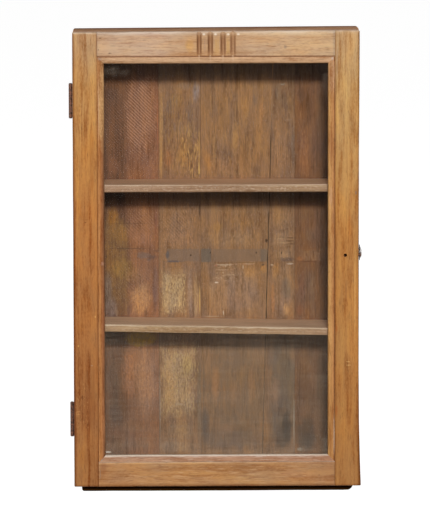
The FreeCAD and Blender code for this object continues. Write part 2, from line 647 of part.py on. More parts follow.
peg.setExpression("Height", "Sizes.peg_length")
peg_bore = doc.addObject("Part::Cylinder", "peg_bore_pattern")
peg_bore.setExpression("Radius", "Sizes.peg_diameter / 2 + Sizes.drive_room")
peg_bore.setExpression("Height", "Sizes.peg_length + Sizes.drive_room")
peg_bores = copies("peg_bores", peg_bore, peg_places)
keep("frame_pegs", copies("frame_pegs", peg, peg_places))

# Bead pins run in the plane of the frame, behind the rounded part of the bead
BEAD_BACK = f"({DOOR_FRONT} - Sizes.bead_recess - Sizes.bead_depth)"
pin_forward = f"{BEAD_BACK} + (Sizes.bead_depth - Sizes.bead_round) / 2"
pin_start = "(Sizes.bead_width - Sizes.bead_pin_sink)"
bead_pin_places = []
for share in BEAD_PIN_SHARES:
    up = f"Sizes.bottom_rail_height + {OPENING_HEIGHT} * {share}"
    across = f"-{OPENING_HALF} + 2 * {OPENING_HALF} * {share}"
    bead_pin_places.append((spot(f"-{OPENING_HALF} + {pin_start}", pin_forward, up), LEFT))
    bead_pin_places.append((spot(f"{OPENING_HALF} - {pin_start}", pin_forward, up), RIGHT))
    bead_pin_places.append((spot(across, pin_forward, f"{OPENING_TOP} - {pin_start}"), UP))
    low = spot(across, pin_forward, f"Sizes.bottom_rail_height + {pin_start}")
    bead_pin_places.append((low, DOWN))
bead_pin = doc.addObject("Part::Cylinder", "bead_pin_pattern")
bead_pin.setExpression("Radius", "Sizes.bead_pin_diameter / 2")
bead_pin.setExpression("Height", f"{pin_start} + Sizes.bead_pin_hold")
bead_pin_bore = doc.addObject("Part::Cylinder", "bead_pin_bore_pattern")
bead_pin_bore.setExpression("Radius", "Sizes.bead_pin_diameter / 2 + Sizes.drive_room")
bead_pin_bore.setExpression("Height", f"{pin_start} + Sizes.bead_pin_hold + Sizes.drive_room")
bead_bores = copies("bead_bores", bead_pin_bore, bead_pin_places)
bead_mouth = doc.addObject("Part::Cylinder", "bead_mouth_pattern")
bead_mouth.setExpression("Radius", "Sizes.bead_pin_diameter / 2 + Sizes.drive_room")
bead_mouth.setExpression("Height", "Sizes.bead_pin_sink + Sizes.cut_overrun")
mouth_places = [(point, direction.negative()) for point, direction in bead_pin_places]
bead_mouths = copies("bead_mouths", bead_mouth, mouth_places)
keep("bead_pins", copies("bead_pins", bead_pin, bead_pin_places))

STILE_BACK = "(Sizes.stile_width + Sizes.lip_width)"
knob_bore = rod(
    "knob_bore", f"{HALF} - Sizes.knob_hole_inset", f"{DOOR_BACK} - Sizes.cut_overrun",
    "Sizes.latch_height", "Sizes.knob_hole / 2",
    "Sizes.door_thickness + 2 * Sizes.cut_overrun", FORWARD,
)
catch_bore = rod(
    "catch_bore", f"{HALF} + Sizes.cut_overrun", f"{DOOR_BACK} + Sizes.door_thickness / 2",
    "Sizes.latch_height", "Sizes.catch_pin_diameter / 2 + Sizes.drive_room",
    "Sizes.catch_pin_hold + Sizes.drive_room + Sizes.cut_overrun", LEFT,
)
STILE_FIGURES = {
    "left": (
        ("0", "0"),
        ("Sizes.stile_width", "0"),
        ("Sizes.stile_width", REBATE),
        (STILE_BACK, REBATE),
        (STILE_BACK, "Sizes.door_thickness"),
        ("0", "Sizes.door_thickness"),
    ),
    "right": (
        ("Sizes.lip_width", "0"),
        (STILE_BACK, "0"),
        (STILE_BACK, "Sizes.door_thickness"),
        ("0", "Sizes.door_thickness"),
        ("0", REBATE),
        ("Sizes.lip_width", REBATE),
    ),
}
stile_height = value("Sizes.carcass_height")
for side, across, outer, extra in (
    ("left", f"-{HALF}", 0, [*stile_mortises, door_screw_bores]),
    ("right", LIP_HALF, value(STILE_BACK), [knob_bore, catch_bore]),
):
    stile = padded(f"stile_{side}_blank", "XY_Plane", STILE_FIGURES[side], "Sizes.carcass_height")
    rounded(stile, "Sizes.door_top_round", {"y": 0, "z": stile_height})
    rounded(stile, "Sizes.door_edge_round", {"x": outer, "y": 0}, {"y": 0, "z": 0})
    place(stile, across, DOOR_FRONT, "0")
    bored = cut(f"stile_{side}_bored", stile, *mortises, peg_bores, bead_bores, *extra)
    keep(f"stile_{side}", bored)

FLUTE_RADIUS = (
    "(Sizes.flute_width * Sizes.flute_width / (8 * Sizes.flute_depth) + Sizes.flute_depth / 2)"
)
flutes = []
for share in FLUTE_SHARES:
    flutes.append(rod(
        "flute", f"Sizes.flute_pitch * {share}",
        f"{DOOR_FRONT} - Sizes.flute_depth + {FLUTE_RADIUS}",
        f"{OPENING_TOP} - Sizes.cut_overrun", FLUTE_RADIUS,
        "Sizes.top_rail_height + 2 * Sizes.cut_overrun",
    ))
RAILS = (
    ("top", OPENING_TOP, "Sizes.top_rail_height", f"({OPENING_TOP} - Sizes.lip_width)", flutes),
    ("bottom", "0", "Sizes.bottom_rail_height", "0", []),
)
for (level, foot, height, lip_foot, carving), tenon in zip(RAILS, TENONS):
    face = padded(f"rail_{level}_face", "XZ_Plane", (
        ("0", "0"),
        (f"2 * {OPENING_HALF}", "0"),
        (f"2 * {OPENING_HALF}", height),
        ("0", height),
    ), REBATE)
    face_front = -value(REBATE)
    if level == "top":
        rounded(face, "Sizes.door_top_round", {"y": face_front, "z": value(height)})
    else:
        rounded(face, "Sizes.door_edge_round", {"y": face_front, "z": 0})
    place(face, f"-{OPENING_HALF}", LIP_FRONT, foot)
    lip = box(
        f"rail_{level}_lip", f"-{LIP_HALF}", LIP_FRONT, lip_foot,
        f"2 * {LIP_HALF}", f"Sizes.door_thickness - {REBATE}", f"{height} + Sizes.lip_width",
    )
    tenons = box(
        f"rail_{level}_tenons", f"-{TENON_REACH}", f"{TENON_BACK} + Sizes.tenon_thickness",
        tenon[1], f"2 * {TENON_REACH}", "Sizes.tenon_thickness", tenon[2],
    )
    blank = fuse(f"rail_{level}_blank", face, lip, tenons)
    bored = cut(f"rail_{level}_bored", blank, peg_bores, bead_bores, *carving)
    keep(f"rail_{level}", bored)

# Glass on the lip, and mitred beads in front of it
pane = box(
    "glass_pane", f"-{OPENING_HALF} + Sizes.glass_edge_gap", f"{LIP_FRONT} + Sizes.glass_thickness",
    "Sizes.bottom_rail_height", f"2 * ({OPENING_HALF} - Sizes.glass_edge_gap)",
    "Sizes.glass_thickness", f"{OPENING_HEIGHT} - Sizes.glass_edge_gap",
)
keep("glass_pane", pane)
bead_wide = f"(2 * {OPENING_HALF})"
bead_high = OPENING_HEIGHT
BEADS = {
    "bottom": (
        (("0", "0"), (bead_wide, "0"),
         (f"{bead_wide} - Sizes.bead_width", "Sizes.bead_width"), ("Sizes.bead_width", "Sizes.bead_width")),
        f"-{OPENING_HALF}", "Sizes.bottom_rail_height", {"z": value("Sizes.bead_width")},
    ),
    "top": (
        (("Sizes.bead_width", "0"), (f"{bead_wide} - Sizes.bead_width", "0"),
         (bead_wide, "Sizes.bead_width"), ("0", "Sizes.bead_width")),
        f"-{OPENING_HALF}", f"{OPENING_TOP} - Sizes.bead_width", {"z": 0},
    ),
    "left": (
        (("0", "0"), ("Sizes.bead_width", "Sizes.bead_width"),
         ("Sizes.bead_width", f"{bead_high} - Sizes.bead_width"), ("0", bead_high)),
        f"-{OPENING_HALF}", "Sizes.bottom_rail_height", {"x": value("Sizes.bead_width")},
    ),
    "right": (
        (("Sizes.bead_width", "0"), ("Sizes.bead_width", bead_high),
         ("0", f"{bead_high} - Sizes.bead_width"), ("0", "Sizes.bead_width")),
        f"{OPENING_HALF} - Sizes.bead_width", "Sizes.bottom_rail_height", {"x": 0},
    ),
}
bead_front = -value("Sizes.bead_depth")
for side, (figure, across, up, inner) in BEADS.items():
    bead = padded(f"bead_{side}_blank", "XZ_Plane", figure, "Sizes.bead_depth")
    rounded(bead, "Sizes.bead_round", {**inner, "y": bead_front})
    place(bead, across, BEAD_BACK, up)
    keep(f"bead_{side}", cut(f"bead_{side}_bored", bead, bead_bores, bead_mouths))

# Side hook, swung straight back, under its domed pivot
NOSE_RADIUS = f"({SLOT_RADIUS} + Sizes.hook_nose)"
NOSE_FORWARD = f"({PIVOT_FORWARD} - {HOOK_REACH})"
latch = "Sizes.latch_height"
eye = rod(
    "hook_eye", HOOK_ACROSS, PIVOT_FORWARD, latch, "Sizes.hook_eye_diameter / 2",
    "Sizes.hook_thickness", RIGHT,
)
nose = rod("hook_nose_blank", HOOK_ACROSS, NOSE_FORWARD, latch, NOSE_RADIUS, "Sizes.hook_thickness", RIGHT)
bar = box(
    "hook_bar", HOOK_ACROSS, PIVOT_FORWARD, f"{latch} - Sizes.hook_bar_width / 2",
    "Sizes.hook_thickness", HOOK_REACH, "Sizes.hook_bar_width",
)
eye_bore = rod(
    "hook_eye_bore", f"{HOOK_ACROSS} - Sizes.cut_overrun", PIVOT_FORWARD, latch,
    "Sizes.pivot_shank / 2 + Sizes.pin_clearance",
    "Sizes.hook_thickness + 2 * Sizes.cut_overrun", RIGHT,
)
slot_end = rod(
    "hook_slot_end", f"{HOOK_ACROSS} - Sizes.cut_overrun", NOSE_FORWARD, latch, SLOT_RADIUS,
    "Sizes.hook_thickness + 2 * Sizes.cut_overrun", RIGHT,
)
slot_mouth = box(
    "hook_slot_mouth", f"{HOOK_ACROSS} - Sizes.cut_overrun", f"{NOSE_FORWARD} + {SLOT_RADIUS}", latch,
    "Sizes.hook_thickness + 2 * Sizes.cut_overrun", f"2 * {SLOT_RADIUS}",
    f"{NOSE_RADIUS} + Sizes.cut_overrun",
)
lever = cut("side_hook_cut", fuse("side_hook_blank", eye, nose, bar), eye_bore, slot_end, slot_mouth)
keep("side_hook", lever)

washer_bore = rod(
    "hook_washer_bore", f"{HALF} - Sizes.cut_overrun", PIVOT_FORWARD, latch,
    "Sizes.pivot_shank / 2 + Sizes.drive_room",
    "Sizes.washer_thickness + 2 * Sizes.cut_overrun", RIGHT,
)
washer = rod(
    "hook_washer_blank", HALF, PIVOT_FORWARD, latch, "Sizes.washer_diameter / 2",
    "Sizes.washer_thickness", RIGHT,
)
keep("hook_washer", cut("hook_washer_bored", washer, washer_bore))
rove = rod(
    "hook_rove_blank", INSIDE, PIVOT_FORWARD, latch,
    "Sizes.rove_diameter / 2", "Sizes.rove_thickness", RIGHT,
)
rove_bore = rod(
    "hook_rove_bore", f"{INSIDE} - Sizes.cut_overrun", PIVOT_FORWARD, latch,
    "Sizes.pivot_shank / 2 + Sizes.drive_room",
    "Sizes.rove_thickness + 2 * Sizes.cut_overrun", RIGHT,
)
keep("hook_rove", cut("hook_rove_bored", rove, rove_bore))

# Domed pivot: shank from the side's inner face, bell-shaped head outside the lever
SHANK_LENGTH = f"({HOOK_ACROSS} + Sizes.hook_thickness + Sizes.hook_gap - {INSIDE})"
DOME_RADIUS = "(Sizes.dome_diameter / 2)"
dome_rim_up = f"{SHANK_LENGTH} + Sizes.dome_rim"
dome_top_up = f"{SHANK_LENGTH} + Sizes.dome_height"
pivot = turned("hook_pivot", (
    ("0", "0"),
    ("Sizes.pivot_shank / 2", "0"),
    ("Sizes.pivot_shank / 2", SHANK_LENGTH),
    (DOME_RADIUS, SHANK_LENGTH),
    (DOME_RADIUS, dome_rim_up),
    (f"{DOME_RADIUS} * {DOME_FOOT_SHARE}", dome_rim_up),
    (f"{DOME_RADIUS} * {DOME_CROWN_SHARE}", dome_top_up),
    ("0", dome_top_up),
))
crown = {"z": value(dome_top_up)}
foot = {"x": value(f"{DOME_RADIUS} * {DOME_FOOT_SHARE}"), "z": value(dome_rim_up)}
rounded(pivot, "Sizes.dome_round", crown, foot)
pivot.Placement = FreeCAD.Placement(FreeCAD.Vector(), FreeCAD.Rotation(UP, RIGHT))
place(pivot, INSIDE, PIVOT_FORWARD, latch)
keep("hook_pivot", pivot)

# Catch pin in the door's edge
CATCH_NECK = "(Sizes.washer_thickness + Sizes.hook_gap + Sizes.hook_thickness + Sizes.catch_head_gap)"
catch_head_up = f"Sizes.catch_pin_hold + {CATCH_NECK}"
catch_top = f"{catch_head_up} + Sizes.catch_head_height"
catch = turned("catch_pin", (
    ("0", "0"),
    ("Sizes.catch_pin_diameter / 2", "0"),
    ("Sizes.catch_pin_diameter / 2", catch_head_up),
    ("Sizes.catch_head_diameter / 2", catch_head_up),
    ("Sizes.catch_head_diameter / 2", f"{catch_head_up} + Sizes.catch_head_height / 2"),
    ("Sizes.catch_pin_diameter / 2", catch_top),
    ("0", catch_top),
))
catch.Placement = FreeCAD.Placement(FreeCAD.Vector(), FreeCAD.Rotation(UP, RIGHT))
place(catch, f"{HALF} - Sizes.catch_pin_hold", f"{DOOR_BACK} + Sizes.door_thickness / 2", latch)
keep("catch_pin", catch)

doc.recompute()
for thing in doc.Objects:
    if {"Invalid", "Error"} & set(thing.State):
        raise RuntimeError(f"{thing.Label} is not built: {thing.State}")
for label, thing in nodes.items():
    if thing.Label != label:
        raise RuntimeError(f"{label} is labelled {thing.Label}")
    if thing.Shape.isNull() or not thing.Shape.isValid() or not thing.Shape.Solids:
        raise RuntimeError(f"{label} has no sound shape")

os.makedirs("parts", exist_ok=True)
for label, thing in nodes.items():
    thing.Shape.exportStep(os.path.join("parts", f"{label}.step"))
    print(label, len(thing.Shape.Solids), round(thing.Shape.Volume, 1))
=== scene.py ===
import math
import bmesh
import bpy
from mathutils import Matrix, Vector, noise


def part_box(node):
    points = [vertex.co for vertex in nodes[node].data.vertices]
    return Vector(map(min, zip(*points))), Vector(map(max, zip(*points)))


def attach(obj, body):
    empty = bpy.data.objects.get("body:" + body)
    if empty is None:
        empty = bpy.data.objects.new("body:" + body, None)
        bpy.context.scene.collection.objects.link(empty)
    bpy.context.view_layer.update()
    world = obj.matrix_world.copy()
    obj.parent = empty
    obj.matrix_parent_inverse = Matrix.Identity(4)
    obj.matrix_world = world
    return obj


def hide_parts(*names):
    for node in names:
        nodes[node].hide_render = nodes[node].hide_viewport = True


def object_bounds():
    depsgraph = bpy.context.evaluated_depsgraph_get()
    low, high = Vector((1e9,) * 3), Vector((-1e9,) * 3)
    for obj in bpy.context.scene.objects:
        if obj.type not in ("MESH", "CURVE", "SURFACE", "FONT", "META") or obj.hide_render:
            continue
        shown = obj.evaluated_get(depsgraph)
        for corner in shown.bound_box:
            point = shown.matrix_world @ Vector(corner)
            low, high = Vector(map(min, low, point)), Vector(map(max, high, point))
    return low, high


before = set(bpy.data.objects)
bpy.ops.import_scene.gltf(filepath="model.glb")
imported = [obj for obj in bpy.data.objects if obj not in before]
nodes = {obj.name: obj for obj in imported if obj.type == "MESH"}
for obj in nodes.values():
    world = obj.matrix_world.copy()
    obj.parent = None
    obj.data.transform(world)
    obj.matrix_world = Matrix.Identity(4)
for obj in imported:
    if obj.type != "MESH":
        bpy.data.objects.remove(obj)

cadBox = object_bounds()
scene = bpy.context.scene
scene.view_settings.view_transform = "Standard"
mm = 0.001
print("frame loaded,", len(nodes), "nodes")


# camera

photo = {"wide": 430, "tall": 516}  # pixels
cameraLook = {
    "lens": 295.33,
    "sensor": 36,  # mm, along the picture's height
    "distance": 8.0,
    "above": 5.6,  # degrees over level
    "aside": 0.9,
    "lean": -0.115,
    "aim": (-0.0012, -0.080, -0.3959),
    "clipEnd": 200,
}


def cameraAxes(look):
    up, side, lean = (math.radians(look[k]) for k in ("above", "aside", "lean"))
    ahead = Vector((math.sin(side) * math.cos(up), math.cos(side) * math.cos(up), -math.sin(up)))
    right = Vector((math.cos(side), -math.sin(side), 0))
    over = right.cross(ahead)
    right, over = (right * math.cos(lean) + over * math.sin(lean),
                   over * math.cos(lean) - right * math.sin(lean))
    return right, over, ahead, Vector(look["aim"]) - ahead * look["distance"]


def makeCamera(look):
    right, over, ahead, eye = cameraAxes(look)
    data = bpy.data.cameras.new("portraitCamera")
    data.lens = look["lens"]
    data.sensor_width = look["sensor"]
    data.clip_end = look["clipEnd"]
    cam = bpy.data.objects.new("portraitCamera", data)
    place = Matrix((right, over, -ahead)).transposed().to_4x4()
    place.translation = eye
    cam.matrix_world = place
    scene.collection.objects.link(cam)
    scene.camera = cam


makeCamera(cameraLook)
print("camera set")


# Stains, and some spots of painted shade beside the right stile, are read on the photo: across and down in
# its pixels, half sizes in pixels, the colour shown there, share, softness and raggedness; they are ovals
# unless they say block. Some colours were tuned in renders.
# The camera says where a spot lies on the object, and the view's light and haze are taken off its colour.

glassSquare = {"left": 104, "right": 327, "top": 63, "foot": 453}  # pixels
plankView = {"depth": -10, "light": (0.82, 0.81, 0.77),
             "hazeUnder": 325, "haze": (0.030, 0.023, 0.017), "clear": 0.93, "least": 0.02}
faceView = {"depth": -173.5, "light": (0.985, 1.03, 1.0),
            "hazeUnder": 0, "haze": (0, 0, 0.006), "clear": 1.0, "least": 0.01}
spotEdge = [0.7, 0.35]  # softness and raggedness, where a reading gives none


def planePoint(u, v, depth):
    right, over, ahead, eye = cameraAxes(cameraLook)
    pitch = cameraLook["sensor"] / photo["tall"] / cameraLook["lens"]
    ray = ahead + right * (u - photo["wide"] / 2) * pitch + over * (photo["tall"] / 2 - v) * pitch
    hit = eye + ray * ((depth * mm - eye.y) / ray.y)
    return Vector((hit.x, hit.z)) / mm


# places run evenly between the corners of the glass
def placeOf(view, u, v, halfU, halfV):
    s = glassSquare
    wide, tall = s["right"] - s["left"], s["foot"] - s["top"]
    topLeft, topRight = (planePoint(s[side], s["top"], view["depth"]) for side in ("left", "right"))
    lowLeft, lowRight = (planePoint(s[side], s["foot"], view["depth"]) for side in ("left", "right"))
    across, down = (u - s["left"]) / wide, (v - s["top"]) / tall
    x, z = topLeft.lerp(topRight, across).lerp(lowLeft.lerp(lowRight, across), down)
    return x, z, halfU * (topRight - topLeft).x / wide, halfV * (topLeft - lowLeft).y / tall


def surfaceTone(view, v, shown):
    tone = [((c / 255 + 0.055) / 1.055) ** 2.4 for c in shown]
    if v > view["hazeUnder"]:
        tone = [max(view["least"], c - haze) / view["clear"] for c, haze in zip(tone, view["haze"])]
    return tuple(c / light for c, light in zip(tone, view["light"]))


def seen(view, spots):
    found = []
    for spot in spots:
        shape = "block" if spot[0] == "block" else "oval"
        u, v, halfU, halfV, shown, share, *edge = spot[shape == "block":]
        edge += spotEdge[len(edge):]
        found.append((shape, *placeOf(view, u, v, halfU, halfV), surfaceTone(view, v, shown), share, *edge))
    return found


# flecks also give their own width and height in mm, and end with how sparse they are
def seenFlecks(view, spots):
    return [(*placeOf(view, u, v, halfU, halfV), wide, tall, surfaceTone(view, v, shown), share, cover)
            for u, v, halfU, halfV, wide, tall, shown, share, cover in spots]


# node helpers: each returns the socket that carries its result


def plug(tree, value, socket):
    if isinstance(value, bpy.types.NodeSocket):
        tree.links.new(value, socket)
    else:
        socket.default_value = value


def calc(tree, how, *values):
    n = tree.nodes.new("ShaderNodeMath")
    n.operation = how
    for i, v in enumerate(values):
        plug(tree, v, n.inputs[i])
    return n.outputs[0]


def vecCalc(tree, how, *values):
    n = tree.nodes.new("ShaderNodeVectorMath")
    n.operation = how
    for i, v in enumerate(values):
        plug(tree, v, n.inputs[i])
    return n.outputs["Value" if how in ("LENGTH", "DOT_PRODUCT") else "Vector"]


def noiseOf(tree, place, detail=2.0, rough=0.5, colour=False):
    n = tree.nodes.new("ShaderNodeTexNoise")
    n.inputs["Scale"].default_value = 1
    n.inputs["Detail"].default_value = detail
    n.inputs["Roughness"].default_value = rough
    plug(tree, place, n.inputs["Vector"])
    return n.outputs[1 if colour else 0]


def spanOf(tree, value, low, high, start=0.0, end=1.0, soft=True):
    n = tree.nodes.new("ShaderNodeMapRange")
    n.interpolation_type = "SMOOTHSTEP" if soft else "LINEAR"
    plug(tree, value, n.inputs["Value"])
    for key, v in (("From Min", low), ("From Max", high), ("To Min", start), ("To Max", end)):
        plug(tree, v, n.inputs[key])
    return n.outputs[0]


def rampOf(tree, value, stops):
    n = tree.nodes.new("ShaderNodeValToRGB")
    parts = n.color_ramp.elements
    while len(parts) < len(stops):
        parts.new(1)
    for part, (at, tone) in zip(parts, stops):
        part.position = at
        part.color = (*tone, 1)
    plug(tree, value, n.inputs[0])
    return n.outputs[0]


def mixTone(tree, share, a, b, how="MIX"):
    n = tree.nodes.new("ShaderNodeMix")
    n.data_type = "RGBA"
    n.blend_type = how
    plug(tree, share, n.inputs[0])
    for socket, v in ((n.inputs[6], a), (n.inputs[7], b)):
        plug(tree, (*v, 1) if isinstance(v, tuple) else v, socket)
    return n.outputs[2]


def mixShader(tree, share, one, two):
    n = tree.nodes.new("ShaderNodeMixShader")
    for i, v in enumerate((share, one, two)):
        tree.links.new(v, n.inputs[i])
    return n


def addBump(tree, shader, height, strength, deep):
    bump = tree.nodes.new("ShaderNodeBump")
    bump.inputs["Strength"].default_value = strength
    bump.inputs["Distance"].default_value = deep
    tree.links.new(height, bump.inputs["Height"])
    tree.links.new(bump.outputs[0], shader.inputs["Normal"])


def startMaterial(name):
    mat = bpy.data.materials.new(name)
    mat.use_nodes = True
    mat.node_tree.nodes.clear()
    tree = mat.node_tree
    place = tree.nodes.new("ShaderNodeTexCoord").outputs["Object"]
    return mat, tree, place


def closeMaterial(tree, shader):
    out = tree.nodes.new("ShaderNodeOutputMaterial")
    tree.links.new(shader.outputs[0], out.inputs["Surface"])


def wearCoat(piece, mat):
    piece.data.materials.clear()
    piece.data.materials.append(mat)


# light and floor

lightLook = {
    "key": 2.16, "keyAngle": 17.4, "keyAside": 0.34, "keyFar": 12.0, "keySize": (1.35, 0.85),
    "wide": 0.6, "wideAngle": 15.6, "wideSize": (2.0, 2.8),
    "behind": 1.8, "behindFrom": (0.7, 0.15), "behindFar": 6, "behindSize": (2.5, 2.5), "fill": 0.042,
    "aim": (0, -0.08, -0.39),
    "floorTone": 0.35, "floorWhite": 0.97, "floorUnder": 0.0005, "floorSpan": ((-60, -40), (60, 90)),
}


def softBox(name, toward, far, size, level):
    data = bpy.data.lights.new(name, "AREA")
    data.shape = "RECTANGLE"
    data.size, data.size_y = size
    data.energy = level * math.pi * far * far
    lamp = bpy.data.objects.new(name, data)
    aim = Vector(lightLook["aim"])
    lamp.location = aim + Vector(toward).normalized() * far
    lamp.rotation_euler = (aim - lamp.location).to_track_quat("-Z", "Y").to_euler()
    scene.collection.objects.link(lamp)


def seenDirectly(tree):
    path = tree.nodes.new("ShaderNodeLightPath").outputs
    direct = calc(tree, "MAXIMUM", path["Is Camera Ray"], path["Is Glossy Ray"])
    return calc(tree, "MAXIMUM", direct, path["Is Transmission Ray"])


def makeStage(look):
    aside = look["keyAside"] / look["keyFar"]
    for name in ("key", "wide"):
        up = math.radians(look[name + "Angle"])
        toward = (aside, -math.cos(up), math.sin(up))
        softBox(name + "Box", toward, look["keyFar"], look[name + "Size"], look[name])
    for name, hand in (("leftBox", -1), ("rightBox", 1)):
        softBox(name, (hand, *look["behindFrom"]), look["behindFar"], look["behindSize"], look["behind"])
    world = bpy.data.worlds.new("studio")
    world.use_nodes = True
    scene.world = world
    tree = world.node_tree
    tree.nodes.clear()
    fill = tree.nodes.new("ShaderNodeBackground")
    fill.inputs["Strength"].default_value = look["fill"]
    white = tree.nodes.new("ShaderNodeBackground")
    for n in (fill, white):
        n.inputs["Color"].default_value = (1, 1, 1, 1)
    both = mixShader(tree, seenDirectly(tree), fill.outputs[0], white.outputs[0])
    out = tree.nodes.new("ShaderNodeOutputWorld")
    tree.links.new(both.outputs[0], out.inputs["Surface"])

    low = cadBox[0][2] - look["floorUnder"]
    (left, near), (right, far) = look["floorSpan"]
    mesh = bpy.data.meshes.new("floor")
    places = [(left, near, low), (right, near, low), (right, far, low), (left, far, low)]
    mesh.from_pydata(places, [], [(0, 1, 2, 3)])
    floor = bpy.data.objects.new("floor", mesh)
    scene.collection.objects.link(floor)
    mat, tree, place = startMaterial("paleFloor")
    pale = tree.nodes.new("ShaderNodeBsdfDiffuse")
    speck = noiseOf(tree, vecCalc(tree, "SCALE", place, (0, 0, 0), (0, 0, 0), 9.0), 3)
    tone = look["floorTone"]
    speckled = rampOf(tree, speck, [(0.3, (tone, tone, tone)), (0.7, (tone * 1.02,) * 3)])
    plug(tree, speckled, pale.inputs["Color"])
    glow = tree.nodes.new("ShaderNodeEmission")
    plug(tree, calc(tree, "MULTIPLY", seenDirectly(tree), look["floorWhite"]), glow.inputs["Strength"])
    both = tree.nodes.new("ShaderNodeAddShader")
    tree.links.new(pale.outputs[0], both.inputs[0])
    tree.links.new(glow.outputs[0], both.inputs[1])
    closeMaterial(tree, both)
    wearCoat(floor, mat)


makeStage(lightLook)
print("light and floor set")


# wood: tones run along or across the piece, patches lay stains on them and in a few places painted shade,
# the grain varies them, and marks sit on top; edge ramps and arris tones also paint shade and highlights

woodDefaults = {
    "along": "z", "toneAxis": None, "plane": "xz", "seed": 0.0,
    "dark": (0.62, 0.53, 0.44), "light": (1.22, 1.27, 1.32), "contrast": 1.0,
    # mm across and along
    "band": (12, 420), "line": (2.6, 260), "fibre": (0.8, 30), "cloud": (38, 120), "mottle": (4, 8),
    "bend": (90, 260), "blotch": (12, 30), "chip": (3.5, 5), "drift": (24, 70), "pore": (0.9, 14),
    "mix": (0.3, 0.28, 0.2, 0.22, 0.0), "wander": 5, "edgeWander": 1.6,
    "pores": 0.35, "poreTone": (0.09, 0.045, 0.02),
    "patches": (), "marks": (), "flecks": (), "saw": (), "edges": (), "dust": None, "arrisHighlight": None,
    "front": False,
    "hue": 0.0, "cool": (0.86, 0.93, 1.1), "warm": (1.12, 1.05, 0.86),
    "rough": (0.42, 0.62), "shine": 0.18, "bump": 0.3, "bumpDeep": 0.0006,
}
axes = "xyz"
seedSpread = (1.37, 2.11, 0.73)
perMetre = 1000.0  # mm


def splitOf(tree, value):
    n = tree.nodes.new("ShaderNodeSeparateXYZ")
    tree.links.new(value, n.inputs[0])
    return n.outputs


# a ragged oval or block in the piece's plane, sizes in mm
def patchMask(tree, place, ragged, plane, shape, a, b, halfA, halfB, share, soft, tear):
    keep = [axes.index(c) for c in plane]
    size, shift, rough = [0.0] * 3, [0.0] * 3, [0.0] * 3
    for axis, at, half in zip(keep, (a, b), (halfA, halfB)):
        size[axis], shift[axis], rough[axis] = perMetre / half, -at / half, 3 * tear
    off = vecCalc(tree, "MULTIPLY_ADD", place, tuple(size), tuple(shift))
    off = vecCalc(tree, "MULTIPLY_ADD", ragged, tuple(rough), off)
    if shape == "block":
        parts = splitOf(tree, vecCalc(tree, "ABSOLUTE", off))
        far = calc(tree, "MAXIMUM", parts[keep[0]], parts[keep[1]])
    else:
        far = vecCalc(tree, "LENGTH", off)
    return spanOf(tree, far, 1.0, 1.0 - soft, 0.0, share)


